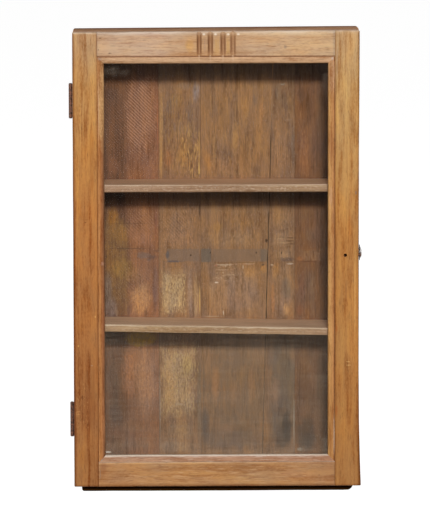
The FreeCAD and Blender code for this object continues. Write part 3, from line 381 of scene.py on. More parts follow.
def woodFinish(name, look):
    look = {**woodDefaults, **look}
    mat, tree, place = startMaterial(name)
    run = axes.index(look["along"])
    plane = look["plane"]
    seed = tuple(look["seed"] * k for k in seedSpread)
    spot = splitOf(tree, place)
    facing = splitOf(tree, tree.nodes.new("ShaderNodeTexCoord").outputs["Normal"])
    front = spanOf(tree, facing[1], -0.15, -0.5) if look["front"] else 1.0

    def stretched(size, at=place, shift=1.0):
        scale = [perMetre / size[0]] * 3
        scale[run] = perMetre / size[1]
        return vecCalc(tree, "MULTIPLY_ADD", at, tuple(scale), tuple(s * shift + shift for s in seed))

    def swayOf(size, shift, detail=3.0):
        cloudy = noiseOf(tree, stretched(size, place, shift), detail, 0.6, colour=True)
        return vecCalc(tree, "SUBTRACT", cloudy, (0.5, 0.5, 0.5))

    def shared(mask):
        return calc(tree, "MULTIPLY", mask, front) if look["front"] else mask

    bent = vecCalc(tree, "MULTIPLY_ADD", swayOf(look["bend"], 1.0), (look["wander"] * 2 * mm,) * 3, place)
    band = spanOf(tree, noiseOf(tree, stretched(look["band"], bent, 3.0), 3.0, 0.6), 0.3, 0.7)
    line = spanOf(tree, noiseOf(tree, stretched(look["line"], bent, 13.0), 2.0), 0.34, 0.62)
    fibre = spanOf(tree, noiseOf(tree, stretched(look["fibre"], bent, 7.0), 2.0), 0.28, 0.72)
    cloud = spanOf(tree, noiseOf(tree, stretched(look["cloud"], place, 5.0), 3.0), 0.3, 0.7)
    mottle = spanOf(tree, noiseOf(tree, stretched(look["mottle"], bent, 19.0), 3.0, 0.6), 0.3, 0.7)
    grain = 0.0
    for value, share in zip((band, line, fibre, cloud, mottle), look["mix"]):
        grain = calc(tree, "MULTIPLY_ADD", value, share, grain)

    stops = sorted(look["tones"])
    low, high = stops[0][0], stops[-1][0]
    way = spanOf(tree, spot[axes.index(look["toneAxis"] or look["along"])], low * mm, high * mm, soft=False)
    tone = rampOf(tree, way, [((at - low) / (high - low), shade) for at, shade in stops])

    blotch, chip = swayOf(look["blotch"], 9.0, 6.0), swayOf(look["chip"], 17.0)
    patchy = spanOf(tree, mottle, 0.0, 1.0, 0.7, 1.1)
    for shape, a, b, halfA, halfB, shade, share, soft, tear in look["patches"]:
        mask = patchMask(tree, place, blotch, plane, shape, a, b, halfA, halfB, share, soft, tear)
        mask = calc(tree, "MULTIPLY", mask, patchy)
        tone = mixTone(tree, shared(mask), tone, shade)

    dark, light = (tuple(1 + (c - 1) * look["contrast"] for c in look[key]) for key in ("dark", "light"))
    tint = rampOf(tree, grain, [(0.15, dark), (0.5, (1.0, 1.0, 1.0)), (0.85, light)])
    tone = mixTone(tree, 1.0, tone, tint, "MULTIPLY")
    drift = noiseOf(tree, stretched(look["drift"], place, 23.0), 3.0, 0.55)
    drift = rampOf(tree, drift, [(0.34, look["cool"]), (0.66, look["warm"])])
    tone = mixTone(tree, look["hue"], tone, mixTone(tree, 1.0, tone, drift, "MULTIPLY"))

    for k, (a, b, halfA, halfB, wide, tall, shade, share, cover) in enumerate(look["flecks"]):
        scale = [perMetre / min(wide, tall)] * 3
        scale[axes.index(plane[0])], scale[axes.index(plane[1])] = perMetre / wide, perMetre / tall
        speck = vecCalc(tree, "MULTIPLY_ADD", bent, tuple(scale), (k * 3.7, seed[0], k * 9.1))
        speck = noiseOf(tree, speck, 2.0)
        mask = patchMask(tree, place, blotch, plane, "block", a, b, halfA, halfB, share, 0.4, 0.4)
        mask = calc(tree, "MULTIPLY", mask, spanOf(tree, speck, cover, cover + 0.09))
        tone = mixTone(tree, shared(mask), tone, shade)
    for a, b, halfA, halfB, angle, pitch, shade, share in look["saw"]:
        turn = 2 * perMetre * math.pi / pitch
        way = (math.cos(math.radians(angle)) * turn, 0.0, math.sin(math.radians(angle)) * turn)
        wave = calc(tree, "SINE", vecCalc(tree, "DOT_PRODUCT", bent, way))
        mask = patchMask(tree, place, blotch, plane, "oval", a, b, halfA, halfB, share, 0.6, 0.6)
        mask = calc(tree, "MULTIPLY", mask, spanOf(tree, wave, 0.0, 1.0))
        tone = mixTone(tree, shared(mask), tone, shade)
    # edge ramps multiply the tone along one axis: wear and dirt on some pieces, painted shade and painted
    # highlights on others
    for axis, stops in look["edges"]:
        low, high = stops[0][0], stops[-1][0]
        where = calc(tree, "MULTIPLY_ADD", splitOf(tree, chip)[0], look["edgeWander"] * mm,
                     spot[axes.index(axis)])
        shade = rampOf(tree, spanOf(tree, where, low * mm, high * mm, soft=False),
                       [((at - low) / (high - low), factor) for at, factor in stops])
        tone = mixTone(tree, front, tone, mixTone(tree, 1.0, tone, shade, "MULTIPLY"))
    for shape, a, b, halfA, halfB, shade, share, soft, tear in look["marks"]:
        mask = patchMask(tree, place, chip, plane, shape, a, b, halfA, halfB, share, soft, tear)
        tone = mixTone(tree, shared(mask), tone, shade)

    pore = spanOf(tree, noiseOf(tree, stretched(look["pore"], bent, 11.0), 1.0), 0.62, 0.7)
    tone = mixTone(tree, calc(tree, "MULTIPLY", pore, look["pores"]), tone, look["poreTone"])
    # up-facing faces take another tone: dust, and on the shelves also a painted sheen
    if look["dust"]:
        shade, share, low, high = look["dust"]
        dustAndSheen = spanOf(tree, facing[2], low, high)
        dustAndSheen = calc(tree, "MULTIPLY", dustAndSheen, spanOf(tree, cloud, 0.0, 1.0, share * 0.8, share))
        tone = mixTone(tree, dustAndSheen, tone, shade)
    # painted highlight: a pale tone on worn rounded arrises that face up and forward, where the light
    # catches them
    if look["arrisHighlight"]:
        shade, share, low, high = look["arrisHighlight"]
        edge = spanOf(tree, facing[2], low, high)
        edge = calc(tree, "MULTIPLY", edge, spanOf(tree, facing[1], -0.1, -0.4))
        edge = calc(tree, "MULTIPLY", edge, spanOf(tree, cloud, 0.0, 1.0, share * 0.5, share))
        tone = mixTone(tree, edge, tone, shade)

    shader = tree.nodes.new("ShaderNodeBsdfPrincipled")
    plug(tree, tone, shader.inputs["Base Color"])
    smooth, rough = look["rough"]
    plug(tree, spanOf(tree, grain, 0.1, 0.9, rough, smooth), shader.inputs["Roughness"])
    shader.inputs["Specular IOR Level"].default_value = look["shine"]
    height = calc(tree, "SUBTRACT", calc(tree, "MULTIPLY_ADD", fibre, 0.5, grain), pore)
    addBump(tree, shader, height, look["bump"], look["bumpDeep"])
    closeMaterial(tree, shader)
    return mat


def dressWood(node, look):
    wearCoat(nodes[node], woodFinish(node + "_wood", look))


# worn boards: a rounded section is run along the piece, and its arrises and faces waver a little

wornDefaults = {
    "seed": 0.0, "wave": 0.25, "wear": 0.45, "step": 9.0,
    "endSteps": (0.5, 1.2, 2.2, 3.5, 5, 7), "arcSteps": 4,
    "wearLong": 34, "wearShort": 9, "waveLong": 60, "sharp": 38,  # mm, and degrees for a sharp edge
}


def meshOf(name, shape):
    data = bpy.data.meshes.new(name)
    shape.to_mesh(data)
    shape.free()
    return data


def outlineOf(corners, counts, arcs, wear):
    points = []
    for i, (a, b, r) in enumerate(corners):
        here, last, after = Vector((a, b)), Vector(corners[i - 1][:2]), corners[(i + 1) % len(corners)]
        nextOne = Vector(after[:2])
        back, ahead = (last - here).normalized(), (nextOne - here).normalized()
        turn = r * wear(i)
        if r:
            middle = here + (back + ahead) * turn
            for k in range(arcs + 1):
                t = k / arcs * math.pi / 2
                points.append(middle - ahead * turn * math.cos(t) - back * turn * math.sin(t))
        else:
            points.append(here)
        start, end = points[-1], nextOne - ahead * after[2] * wear((i + 1) % len(corners))
        for k in range(1, counts[i]):
            points.append(start.lerp(end, k / counts[i]))
    return points


def stationsOf(low, high, step, ends, fine=()):
    marks = {low, high}
    marks.update(low + e for e in ends)
    marks.update(high - e for e in ends)
    count = max(2, round((high - low) / step))
    marks.update(low + (high - low) * k / count for k in range(1, count))
    for start, stop, gap in fine:
        marks.update(start + gap * k for k in range(int((stop - start) / gap) + 1))
    marks = sorted(m for m in marks if low <= m <= high)
    return [m for i, m in enumerate(marks) if i == 0 or m - marks[i - 1] > 0.05]


def wornPiece(name, body, replaced, corners, along, low, high, look, shape=None, fine=()):
    look = {**wornDefaults, **look}
    seed, step, waveLong = look["seed"], look["step"], look["waveLong"]
    counts = []
    for i, (a, b, r) in enumerate(corners):
        run = (Vector(corners[(i + 1) % len(corners)][:2]) - Vector((a, b))).length
        counts.append(max(1, round(run / step)))
    cross = [k for k in range(3) if k != along]
    mesh = bmesh.new()
    rings = []
    for s in stationsOf(low, high, step, look["endSteps"], fine):
        def thin(i):
            long = noise.noise(Vector((s / look["wearLong"], i * 7.7, seed)))
            short = noise.noise(Vector((s / look["wearShort"], i * 3.1, seed)))
            return 1 + look["wear"] * (long + 0.6 * short)
        ring = []
        for p in outlineOf(corners, counts, look["arcSteps"], thin):
            place = Vector((p.x / waveLong, p.y / waveLong, s / waveLong + seed))
            p = p + Vector((noise.noise(place), noise.noise(place + Vector((9, 4, 2))))) * look["wave"]
            a, b, c = shape(p.x, p.y, s) if shape else (p.x, p.y, s)
            spot = [0.0] * 3
            spot[cross[0]], spot[cross[1]], spot[along] = a * mm, b * mm, c * mm
            ring.append(mesh.verts.new(spot))
        rings.append(ring)
    for one, two in zip(rings, rings[1:]):
        for k in range(len(one)):
            j = (k + 1) % len(one)
            mesh.faces.new((one[k], one[j], two[j], two[k]))
    mesh.faces.new(rings[0])
    mesh.faces.new(rings[-1])
    bmesh.ops.recalc_face_normals(mesh, faces=mesh.faces)
    return addPiece(name, meshOf(name, mesh), body, replaced)


def addPiece(name, data, body, replaced):
    piece = bpy.data.objects.new(name, data)
    scene.collection.objects.link(piece)
    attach(piece, body)
    if replaced:
        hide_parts(replaced)
    smoothOff(piece)
    return piece


def smoothOff(piece):
    piece.data.shade_smooth()
    piece.data.set_sharp_from_angle(angle=math.radians(wornDefaults["sharp"]))


def roundIn(gap, r):
    return r - math.sqrt(max(0.0, r * r - (r - gap) ** 2)) if gap < r else 0.0


def cutAway(piece, shapes):
    tools = []
    for shape in shapes:
        tool = bpy.data.objects.new("cutter", meshOf("cutter", shape))
        scene.collection.objects.link(tool)
        tools.append(tool)
        cut = piece.modifiers.new("cut", "BOOLEAN")
        cut.operation, cut.solver, cut.object = "DIFFERENCE", "EXACT", tool
    bpy.context.view_layer.update()
    done = bpy.data.meshes.new_from_object(piece.evaluated_get(bpy.context.evaluated_depsgraph_get()))
    piece.modifiers.clear()
    plain = piece.data
    piece.data = done
    bpy.data.meshes.remove(plain)
    for tool in tools:
        data = tool.data
        bpy.data.objects.remove(tool)
        bpy.data.meshes.remove(data)
    smoothOff(piece)


# the seats of hinge leaves, pegs and nails in a rebuilt board
def carve(piece, *cutters):
    shapes = []
    for cutter in cutters:
        shape = bmesh.new()
        shape.from_mesh(nodes[cutter].data)
        bmesh.ops.remove_doubles(shape, verts=shape.verts, dist=1e-6)
        shapes.append(shape)
    cutAway(piece, shapes)


def bore(piece, centre, radius, length):
    shape = bmesh.new()
    turn = Matrix.Rotation(math.pi / 2, 4, "X")
    bmesh.ops.create_cone(shape, cap_ends=True, segments=28, radius1=radius * mm, radius2=radius * mm,
                          depth=length * mm, matrix=Matrix.Translation(Vector(centre) * mm) @ turn)
    cutAway(piece, [shape])


# door frame

frameGrain = {"front": True, "shine": 0.09, "dark": (0.66, 0.5, 0.34), "light": (1.16, 1.22, 1.16),
              "dust": ((0.48, 0.26, 0.145), 0.95, 0.8, 0.97),
              "band": (11, 240), "line": (3.0, 110), "cloud": (13, 70), "mottle": (2.6, 6),
              "mix": (0.36, 0.12, 0.12, 0.24, 0.16), "hue": 0.55}
frameFace = {"front": -173.5, "back": -151.5, "lip": -160.2, "top": 38.5, "foot": -817.5,
             "edge": 267.5, "sight": 221.5, "lipEdge": 209.5, "railUnder": -10.5, "railOver": -771.5,
             "lipDeep": 12,
             "topSlant": 3.0, "slantOver": 0.9, "flareTall": 130, "flareWide": 9,
             "outRound": 3.2, "sightRound": 0.9, "lipRound": 0.6, "lipBack": 0.8, "backRound": 1.4,
             "footRound": 2.6, "footCorner": 2.4, "topBack": 1.5, "footBack": 1.2}
leftStile = {
    **frameGrain, "seed": 1.0, "bow": 0.0, "flare": 0.0, "topRound": 6, "cornerRound": 2.5,
    # the arris highlight tone is a painted highlight on the worn top front arris
    "contrast": 1.25, "arrisHighlight": ((0.86, 0.68, 0.5), 0.55, 0.25, 0.6),
    "tones": [(38, (0.50, 0.29, 0.145)), (-61, (0.51, 0.255, 0.085)), (-181, (0.49, 0.21, 0.055)),
              (-301, (0.44, 0.175, 0.048)), (-481, (0.41, 0.16, 0.046)), (-661, (0.36, 0.14, 0.042)),
              (-817, (0.36, 0.15, 0.048))],
    # edge ramps: painted shade darkens the rounded outer edge, with a dark joint line at the inner edge;
    # across the top a painted highlight with some wear, then a darker top face; darker at the foot
    "edges": [("x", [(-268, (0.4, 0.3, 0.22)), (-265.5, (0.58, 0.45, 0.34)), (-262, (1.04, 1.04, 1.04)),
                     (-256, (1, 1, 1)), (-225, (1, 1, 1)), (-222.8, (0.84, 0.8, 0.8)),
                     (-221, (0.5, 0.44, 0.42))]),
              ("z", [(-818, (0.6, 0.5, 0.42)), (-813, (1, 1, 1)), (30, (1, 1, 1)), (34, (1.1, 1.22, 1.4)),
                     (37, (0.9, 0.85, 0.85))])],
    "patches": seen(faceView, [
        (80, 115, 1.8, 55, (208, 153, 86), 0.5, 0.8, 0.15),
        (91.5, 150, 3.2, 45, (166, 106, 52), 0.6, 0.8, 0.2),
        (92, 182, 2.6, 16, (150, 88, 45), 0.55, 0.8, 0.2),
        (77.5, 185, 2, 60, (203, 143, 72), 0.45, 0.8, 0.15), (84, 215, 7, 6, (166, 104, 50), 0.4),
        (79, 207, 3.5, 12, (190, 122, 58), 0.4), (88, 412, 9, 34, (136, 82, 48), 0.7),
        (93, 385, 3, 32, (140, 85, 48), 0.55, 0.8, 0.2), (86, 458, 10, 13, (152, 99, 56), 0.6),
        (86, 300, 8, 40, (178, 116, 58), 0.3), (86, 35, 9, 8, (196, 152, 108), 0.4),
    ]),
    "marks": seen(faceView, [
        (85.5, 221.5, 1.7, 1.2, (112, 64, 32), 0.75, 0.8, 0.4),
        (86, 219, 4, 0.7, (140, 84, 42), 0.5, 0.7, 0.5),
        (78.5, 345.5, 1.1, 1.5, (212, 158, 84), 0.7, 0.7, 0.3),
        (95.4, 316, 0.9, 1.5, (220, 172, 100), 0.7, 0.7, 0.2),
        (92, 365, 1.6, 1, (176, 140, 110), 0.6, 0.7, 0.3),
        (78.5, 411.5, 2.6, 0.6, (205, 150, 90), 0.6, 0.6, 0.3),
        (78.5, 414, 2.6, 0.6, (205, 150, 90), 0.5, 0.6, 0.3),
        (82, 398, 1, 4, (96, 54, 30), 0.5, 0.7, 0.5),
    ]),
    "flecks": seenFlecks(faceView, [
        (82, 408, 8, 30, 1.8, 6, (196, 144, 88), 0.5, 0.58),
        (84, 408, 9, 30, 1.8, 7, (96, 54, 30), 0.55, 0.58),
        (90, 150, 6, 60, 2, 30, (140, 82, 40), 0.5, 0.57),
    ]),
}
rightStile = {
    **frameGrain, "seed": 2.3, "bow": 2.4, "flare": 3.2, "topRound": 6, "cornerRound": 4, "contrast": 1.15,
    # the arris highlight tone is a painted highlight on the worn top front arris
    "arrisHighlight": ((0.86, 0.68, 0.5), 0.5, 0.25, 0.6),
    "tones": [(38, (0.55, 0.325, 0.15)), (-61, (0.55, 0.305, 0.11)), (-241, (0.515, 0.255, 0.078)),
              (-361, (0.445, 0.19, 0.05)), (-541, (0.45, 0.195, 0.053)), (-721, (0.41, 0.17, 0.045)),
              (-817, (0.41, 0.175, 0.05))],
    # edge ramps: a dark joint line at the inner edge, painted shade on the rounded outer edge; across the
    # top a painted highlight with some wear, then a darker top face; darker at the foot
    "edges": [("x", [(221, (0.42, 0.34, 0.3)), (223, (0.8, 0.74, 0.7)), (225.5, (1, 1, 1)),
                     (259, (1.02, 1.04, 1.08)), (263.5, (1, 1, 1)), (266, (0.62, 0.54, 0.46)),
                     (268, (0.42, 0.34, 0.28))]),
              ("z", [(-818, (0.6, 0.5, 0.42)), (-813, (1, 1, 1)), (30, (1, 1, 1)), (34, (1.08, 1.16, 1.3)),
                     (37, (0.9, 0.85, 0.85))])],
    "knobHole": (241, -162.5, -382.5), "knobHoleRadius": 3.25, "knobHoleLong": 40,
    "patches": seen(faceView, [
        (351.5, 196, 1.8, 13, (166, 106, 60), 0.6, 0.8, 0.2),
        (350, 224, 3.2, 22, (173, 110, 54), 0.6, 0.8, 0.2),
        (338, 110, 2, 50, (205, 155, 90), 0.4, 0.8, 0.15),
        (352.5, 110, 2.5, 45, (178, 130, 74), 0.4, 0.8, 0.15),
        (345, 300, 3, 50, (190, 130, 66), 0.35, 0.8, 0.15), (351, 420, 4, 40, (172, 112, 56), 0.35),
        (337, 60, 1.6, 26, (176, 150, 132), 0.35, 0.8, 0.2), (345, 455, 8, 14, (168, 112, 62), 0.5),
    ]),
    "marks": [
        *seen(faceView, [
            (336.5, 328, 1.4, 6, (160, 86, 42), 0.6, 0.8, 0.3),
            (336.5, 410, 1.8, 9, (160, 88, 44), 0.6, 0.8, 0.3),
            (356, 192, 1, 2.6, (122, 104, 94), 0.75, 0.7, 0.4),
            (348, 361, 3.2, 0.8, (220, 176, 110), 0.55, 0.7, 0.5),
            (348.5, 364.5, 3.4, 0.8, (220, 176, 110), 0.5, 0.7, 0.5),
            (347, 367, 3, 0.7, (140, 90, 48), 0.5, 0.7, 0.5),
            (346, 290, 0.8, 26, (150, 104, 66), 0.5, 0.8, 0.2),
        ]),
        ("oval", 259.1, -455, 2.3, 120, (0.69, 0.345, 0.105), 0.7, 0.8, 0.25),
    ],
    "flecks": seenFlecks(faceView, [
        (345, 150, 10, 100, 2.2, 60, (154, 100, 49), 0.28, 0.57),
        (345, 330, 10, 90, 2.2, 60, (154, 96, 48), 0.26, 0.57),
    ]),
}
topRail = {
    **frameGrain, "along": "x", "seed": 3.7, "topRound": 6, "contrast": 0.75,
    # the arris highlight tone is a painted highlight on the worn top front arris
    "arrisHighlight": ((0.88, 0.72, 0.56), 0.65, 0.2, 0.55),
    "flutes": [(-31.2, 9.5), (-10.4, 10.5), (13.1, 10.5), (31.6, 11.0)], "fluteDepth": 3.0,
    "fluteDirtAndShadeShare": (1, 1, 0.85, 0.65), "fineBeside": 8, "fineStep": 0.7,
    "reeds": [(-21, 6, (0.44, 0.26, 0.16)), (1.5, 6, (0.6, 0.35, 0.12)), (22.3, 5, (0.62, 0.35, 0.11))],
    "reedLines": (-23.5, -18.6, 0.2, 4.6, 21.8),
    # the flute slopes are darkened by dirt and painted shade; the head tone is a painted highlight on the
    # rounded top between flutes
    "fluteBrown": (0.34, 0.165, 0.075), "fluteSlopeDirtAndShade": (0.2, 0.085, 0.034), "fluteLight": (0.6, 0.38, 0.22),
    "fluteFoot": (0.6, 0.4, 0.25), "fluteHeadHighlight": (0.9, 0.78, 0.62), "reedLine": (0.6, 0.3, 0.1),
    "tones": [(-222, (0.575, 0.355, 0.205)), (-109, (0.61, 0.385, 0.235)), (-45, (0.53, 0.30, 0.15)),
              (30, (0.53, 0.30, 0.15)), (71, (0.60, 0.375, 0.21)), (222, (0.60, 0.375, 0.2))],
    # edge ramps: a dark dirt line at the lower edge; across the top a painted highlight with some wear,
    # then a darker top face; the ends greyed at the joints
    "edges": [("z", [(-11, (0.42, 0.32, 0.3)), (-9.4, (0.62, 0.5, 0.46)), (-7.5, (1, 1, 1)),
                     (28, (1, 1, 1)), (32, (1.08, 1.2, 1.38)), (35.5, (1.1, 1.25, 1.5)),
                     (38.4, (0.75, 0.68, 0.62))]),
              ("x", [(-221.5, (0.62, 0.6, 0.62)), (-219.5, (0.95, 0.95, 0.98)), (-217, (1, 1, 1)),
                     (216, (1, 1, 1)), (218.5, (0.86, 0.87, 0.93)), (221.5, (0.72, 0.74, 0.84))])],
    "patches": seen(faceView, [
        (190, 45, 6, 10, (206, 156, 88), 0.6), (152, 36, 26, 3, (196, 150, 112), 0.45),
        (265, 40, 22, 4, (196, 150, 104), 0.35), (300, 52, 18, 3, (208, 164, 118), 0.4),
        (104, 48, 7, 9, (202, 160, 124), 0.4),
    ]),
    "marks": seen(faceView, [
        (100.2, 38.5, 1.9, 0.9, (92, 68, 58), 0.7, 0.8, 0.4),
        (98.4, 50, 1, 1.3, (100, 76, 66), 0.6, 0.8, 0.3),
        (109.6, 53.4, 2.3, 1, (88, 64, 52), 0.75, 0.8, 0.4),
        (285.3, 47, 2.1, 2.8, (146, 124, 104), 0.65, 0.8, 0.3),
        (168, 47.5, 12, 0.6, (160, 112, 74), 0.5, 0.7, 0.5),
        (258, 38.5, 14, 0.6, (162, 112, 72), 0.5, 0.7, 0.5),
    ]),
    "flecks": seenFlecks(faceView, [
        (150, 45, 52, 12, 30, 1.6, (150, 98, 62), 0.36, 0.57),
        (288, 45, 46, 12, 30, 1.6, (150, 98, 58), 0.32, 0.57),
        (215, 45, 140, 12, 24, 1.6, (226, 184, 140), 0.3, 0.57),
    ]),
}
bottomRail = {
    **frameGrain, "along": "x", "seed": 4.9, "contrast": 0.95, "dust": ((0.6, 0.47, 0.36), 0.9, 0.45, 0.9),
    "tones": [(-222, (0.44, 0.218, 0.093)), (-64, (0.47, 0.232, 0.09)), (71, (0.44, 0.225, 0.095)),
              (222, (0.40, 0.19, 0.08))],
    "edges": [("z", [(-818, (0.5, 0.42, 0.36)), (-814, (0.8, 0.74, 0.68)), (-811, (1.05, 1.05, 1.05)),
                     (-800, (1, 1, 1)), (-775, (1, 1, 1)), (-773.2, (1.18, 1.3, 1.5)),
                     (-771, (1.25, 1.5, 1.9))])],
    "patches": [
        ("oval", -213, -785, 9, 20, (0.33, 0.135, 0.055), 0.7, 0.7, 0.4),
        ("oval", -107, -780, 10, 6, (0.36, 0.16, 0.06), 0.6, 0.8, 0.5),
        ("oval", 30, -800, 60, 9, (0.5, 0.26, 0.1), 0.5, 0.7, 0.5),
        ("oval", -150, -800, 40, 8, (0.5, 0.26, 0.115), 0.5, 0.7, 0.5),
        ("oval", 150, -795, 50, 10, (0.44, 0.215, 0.105), 0.5, 0.7, 0.5),
    ],
    "marks": [
        ("oval", -219, -795, 1.6, 14, (0.3, 0.2, 0.14), 0.55, 0.7, 0.5),
        ("oval", -107, -778, 5, 2, (0.22, 0.09, 0.04), 0.5, 0.8, 0.5),
        ("oval", 192, -797, 1.5, 3, (0.25, 0.11, 0.05), 0.5, 0.7, 0.4),
        ("block", 221, -795, 1.2, 24, (0.2, 0.09, 0.04), 0.5, 0.5, 0.3),
    ],
    "flecks": [(0, -795, 230, 24, 26, 1.7, (0.62, 0.38, 0.2), 0.45, 0.57),
               (0, -795, 230, 24, 26, 1.7, (0.28, 0.11, 0.045), 0.45, 0.57)],
}
# stains of the reeds, then of the flutes between them: a brown ground, dirt and painted shade on the
# slopes, a pale line down the bottom, a pale foot, and a painted highlight on the rounded top beside each
# flute
for at, half, tone in topRail["reeds"]:
    topRail["marks"].append(("block", at, 9, half, 21, tone, 0.5, 0.8, 0.3))
brown, slopeDirtAndShade, light = (topRail[key] for key in ("fluteBrown", "fluteSlopeDirtAndShade", "fluteLight"))
for (at, wide), dirtAndShade in zip(topRail["flutes"], topRail["fluteDirtAndShadeShare"]):
    topRail["marks"] += [("block", at, 13, wide * 0.62, 24, brown, 0.95 * dirtAndShade, 0.5, 0.1),
                         ("block", at - wide * 0.32, 13, 2.6, 23, slopeDirtAndShade, 0.9 * dirtAndShade, 0.9, 0.15),
                         ("block", at + wide * 0.34, 13, 1.8, 23, slopeDirtAndShade, 0.65 * dirtAndShade, 0.9, 0.15),
                         ("block", at + wide * 0.05, 4, 1.2, 16, light, 0.3, 0.8, 0.2),
                         ("block", at - 0.5, -9.5, 2.6, 2.2, topRail["fluteFoot"], 0.6, 0.7, 0.2),
                         ("oval", at + wide * 0.9, 31, 4, 3, topRail["fluteHeadHighlight"], 0.75, 0.8, 0.15)]
for at in topRail["reedLines"]:
    topRail["marks"].append(("block", at, 11, 0.8, 19, topRail["reedLine"], 0.45, 0.8, 0.3))


def makeStile(name, node, hand, look):
    f = frameFace
    edge, sight, lipEdge = hand * f["edge"], hand * f["sight"], hand * f["lipEdge"]
    corners = [(edge, f["front"], f["outRound"]), (sight, f["front"], f["sightRound"]),
               (sight, f["lip"], 0), (lipEdge, f["lip"], f["lipRound"]), (lipEdge, f["back"], f["lipBack"]),
               (edge, f["back"], f["backRound"])]

    def shape(a, b, s):
        over, under = f["top"] - s, s - f["foot"]
        share = under / (f["top"] - f["foot"])
        slant = f["topSlant"] * (f["edge"] - a) / 2 / f["edge"]
        b = max(b, f["front"] + roundIn(over, look["topRound"]),
                f["front"] + roundIn(under, f["footRound"]))
        b = min(b, f["back"] - roundIn(over, f["topBack"]) - roundIn(under, f["footBack"]))
        reach = f["edge"] - look["bow"] * math.sin(math.pi * share) ** 2
        reach -= roundIn(over, look["cornerRound"]) + roundIn(under, f["footCorner"])
        if hand * a > f["edge"] - f["flareWide"]:
            flare = look["flare"] * max(0, 1 - under / f["flareTall"]) ** 1.4
            a, reach = a + hand * flare, reach + flare
        slant *= max(0, (share - f["slantOver"]) / (1 - f["slantOver"]))
        return hand * min(hand * a, reach), b, s - slant

    return wornPiece(name, "door", node, corners, 2, f["foot"], f["top"], look, shape)


def makeRail(name, node, look, face, away, roundEdge):
    f = frameFace
    up = 1 if away > face else -1
    lip = face - up * f["lipDeep"]
    corners = [(f["front"], away, roundEdge), (f["front"], face, f["sightRound"]), (f["lip"], face, 0),
               (f["lip"], lip, f["lipRound"]), (f["back"], lip, f["lipBack"]),
               (f["back"], away, f["backRound"])]

    def shape(a, b, s):
        deep = 0.0
        for at, wide in look.get("flutes", ()):
            gap = abs(s - at) * 2 / wide
            if gap < 1:
                deep = max(deep, look["fluteDepth"] * math.cos(math.pi / 2 * gap) ** 1.4)
        slant = f["topSlant"] * (f["edge"] - s) / 2 / f["edge"]
        slant *= max(0, up) * max(0, (b - face) / (away - face))
        return max(a, f["front"] + deep), b - slant, s

    fine, wide = [], f["sight"]
    if "flutes" in look:
        beside = look["fineBeside"]
        fine = [(look["flutes"][0][0] - beside, look["flutes"][-1][0] + beside, look["fineStep"])]
    return wornPiece(name, "door", node, corners, 0, -wide, wide, look, shape, fine)


for name, node, hand, look in (("leftStile", "stile_left", -1, leftStile),
                               ("rightStile", "stile_right", 1, rightStile)):
    piece = makeStile(name, node, hand, look)
    if hand < 0:
        carve(piece, "hinge_leaf_door_upper", "hinge_leaf_door_lower", "hinge_screws_door", "frame_pegs")
    else:
        carve(piece, "frame_pegs")
        bore(piece, look["knobHole"], look["knobHoleRadius"], look["knobHoleLong"])
    wearCoat(piece, woodFinish(name + "Wood", look))
piece = makeRail("topRail", "rail_top", topRail, frameFace["railUnder"], frameFace["top"],
                 topRail["topRound"])
wearCoat(piece, woodFinish("topRailWood", topRail))
piece = makeRail("bottomRail", "rail_bottom", bottomRail, frameFace["railOver"], frameFace["foot"],
                 frameFace["footRound"])
wearCoat(piece, woodFinish("bottomRailWood", bottomRail))
pegs = {"seed": 5.5, "tones": [(-250, (0.25, 0.12, 0.05)), (250, (0.27, 0.13, 0.055))]}
dressWood("frame_pegs", pegs)
print("door frame made")


# glazing beads: mitred, with a rounded inner edge

beadShape = {"front": -170.5, "back": -163.5, "out": 221.5, "over": -10.5, "under": -771.5, "wide": 13,
             "round": 4.5, "outRound": 0.6, "backRound": 0.5}
beadGrain = {"band": (4, 120), "line": (2.4, 60), "cloud": (8, 40), "mottle": (2.4, 5),
             "mix": (0.28, 0.16, 0.14, 0.24, 0.18),
             "dark": (0.64, 0.48, 0.34), "shine": 0.09, "wave": 0.15, "front": True}
leftBead = {**beadGrain, "seed": 6.1, "toneAxis": "x", "contrast": 1.2,
            "tones": [(-222, (0.24, 0.09, 0.03)), (-219.5, (0.45, 0.2, 0.066)),
                      (-217, (0.425, 0.172, 0.052)), (-213.5, (0.31, 0.12, 0.043)),
                      (-210.5, (0.2, 0.085, 0.036)), (-208, (0.14, 0.065, 0.033))],
            "patches": [("oval", -214, -90, 9, 120, (0.52, 0.29, 0.12), 0.85, 0.6, 0.3),
                        ("oval", -212, -500, 4, 110, (0.3, 0.1, 0.035), 0.6, 0.8, 0.2),
                        ("oval", -214, -700, 7, 60, (0.46, 0.19, 0.07), 0.5, 0.8, 0.3)],
            "marks": [("oval", -213, -397, 5, 6, (0.48, 0.28, 0.2), 0.45, 0.8, 0.5),
                      ("oval", -217, -14, 6, 6, (0.36, 0.28, 0.23), 0.5, 0.8, 0.5),
                      ("oval", -219, -110, 0.9, 90, (0.6, 0.44, 0.32), 0.3, 0.7, 0.3)]}
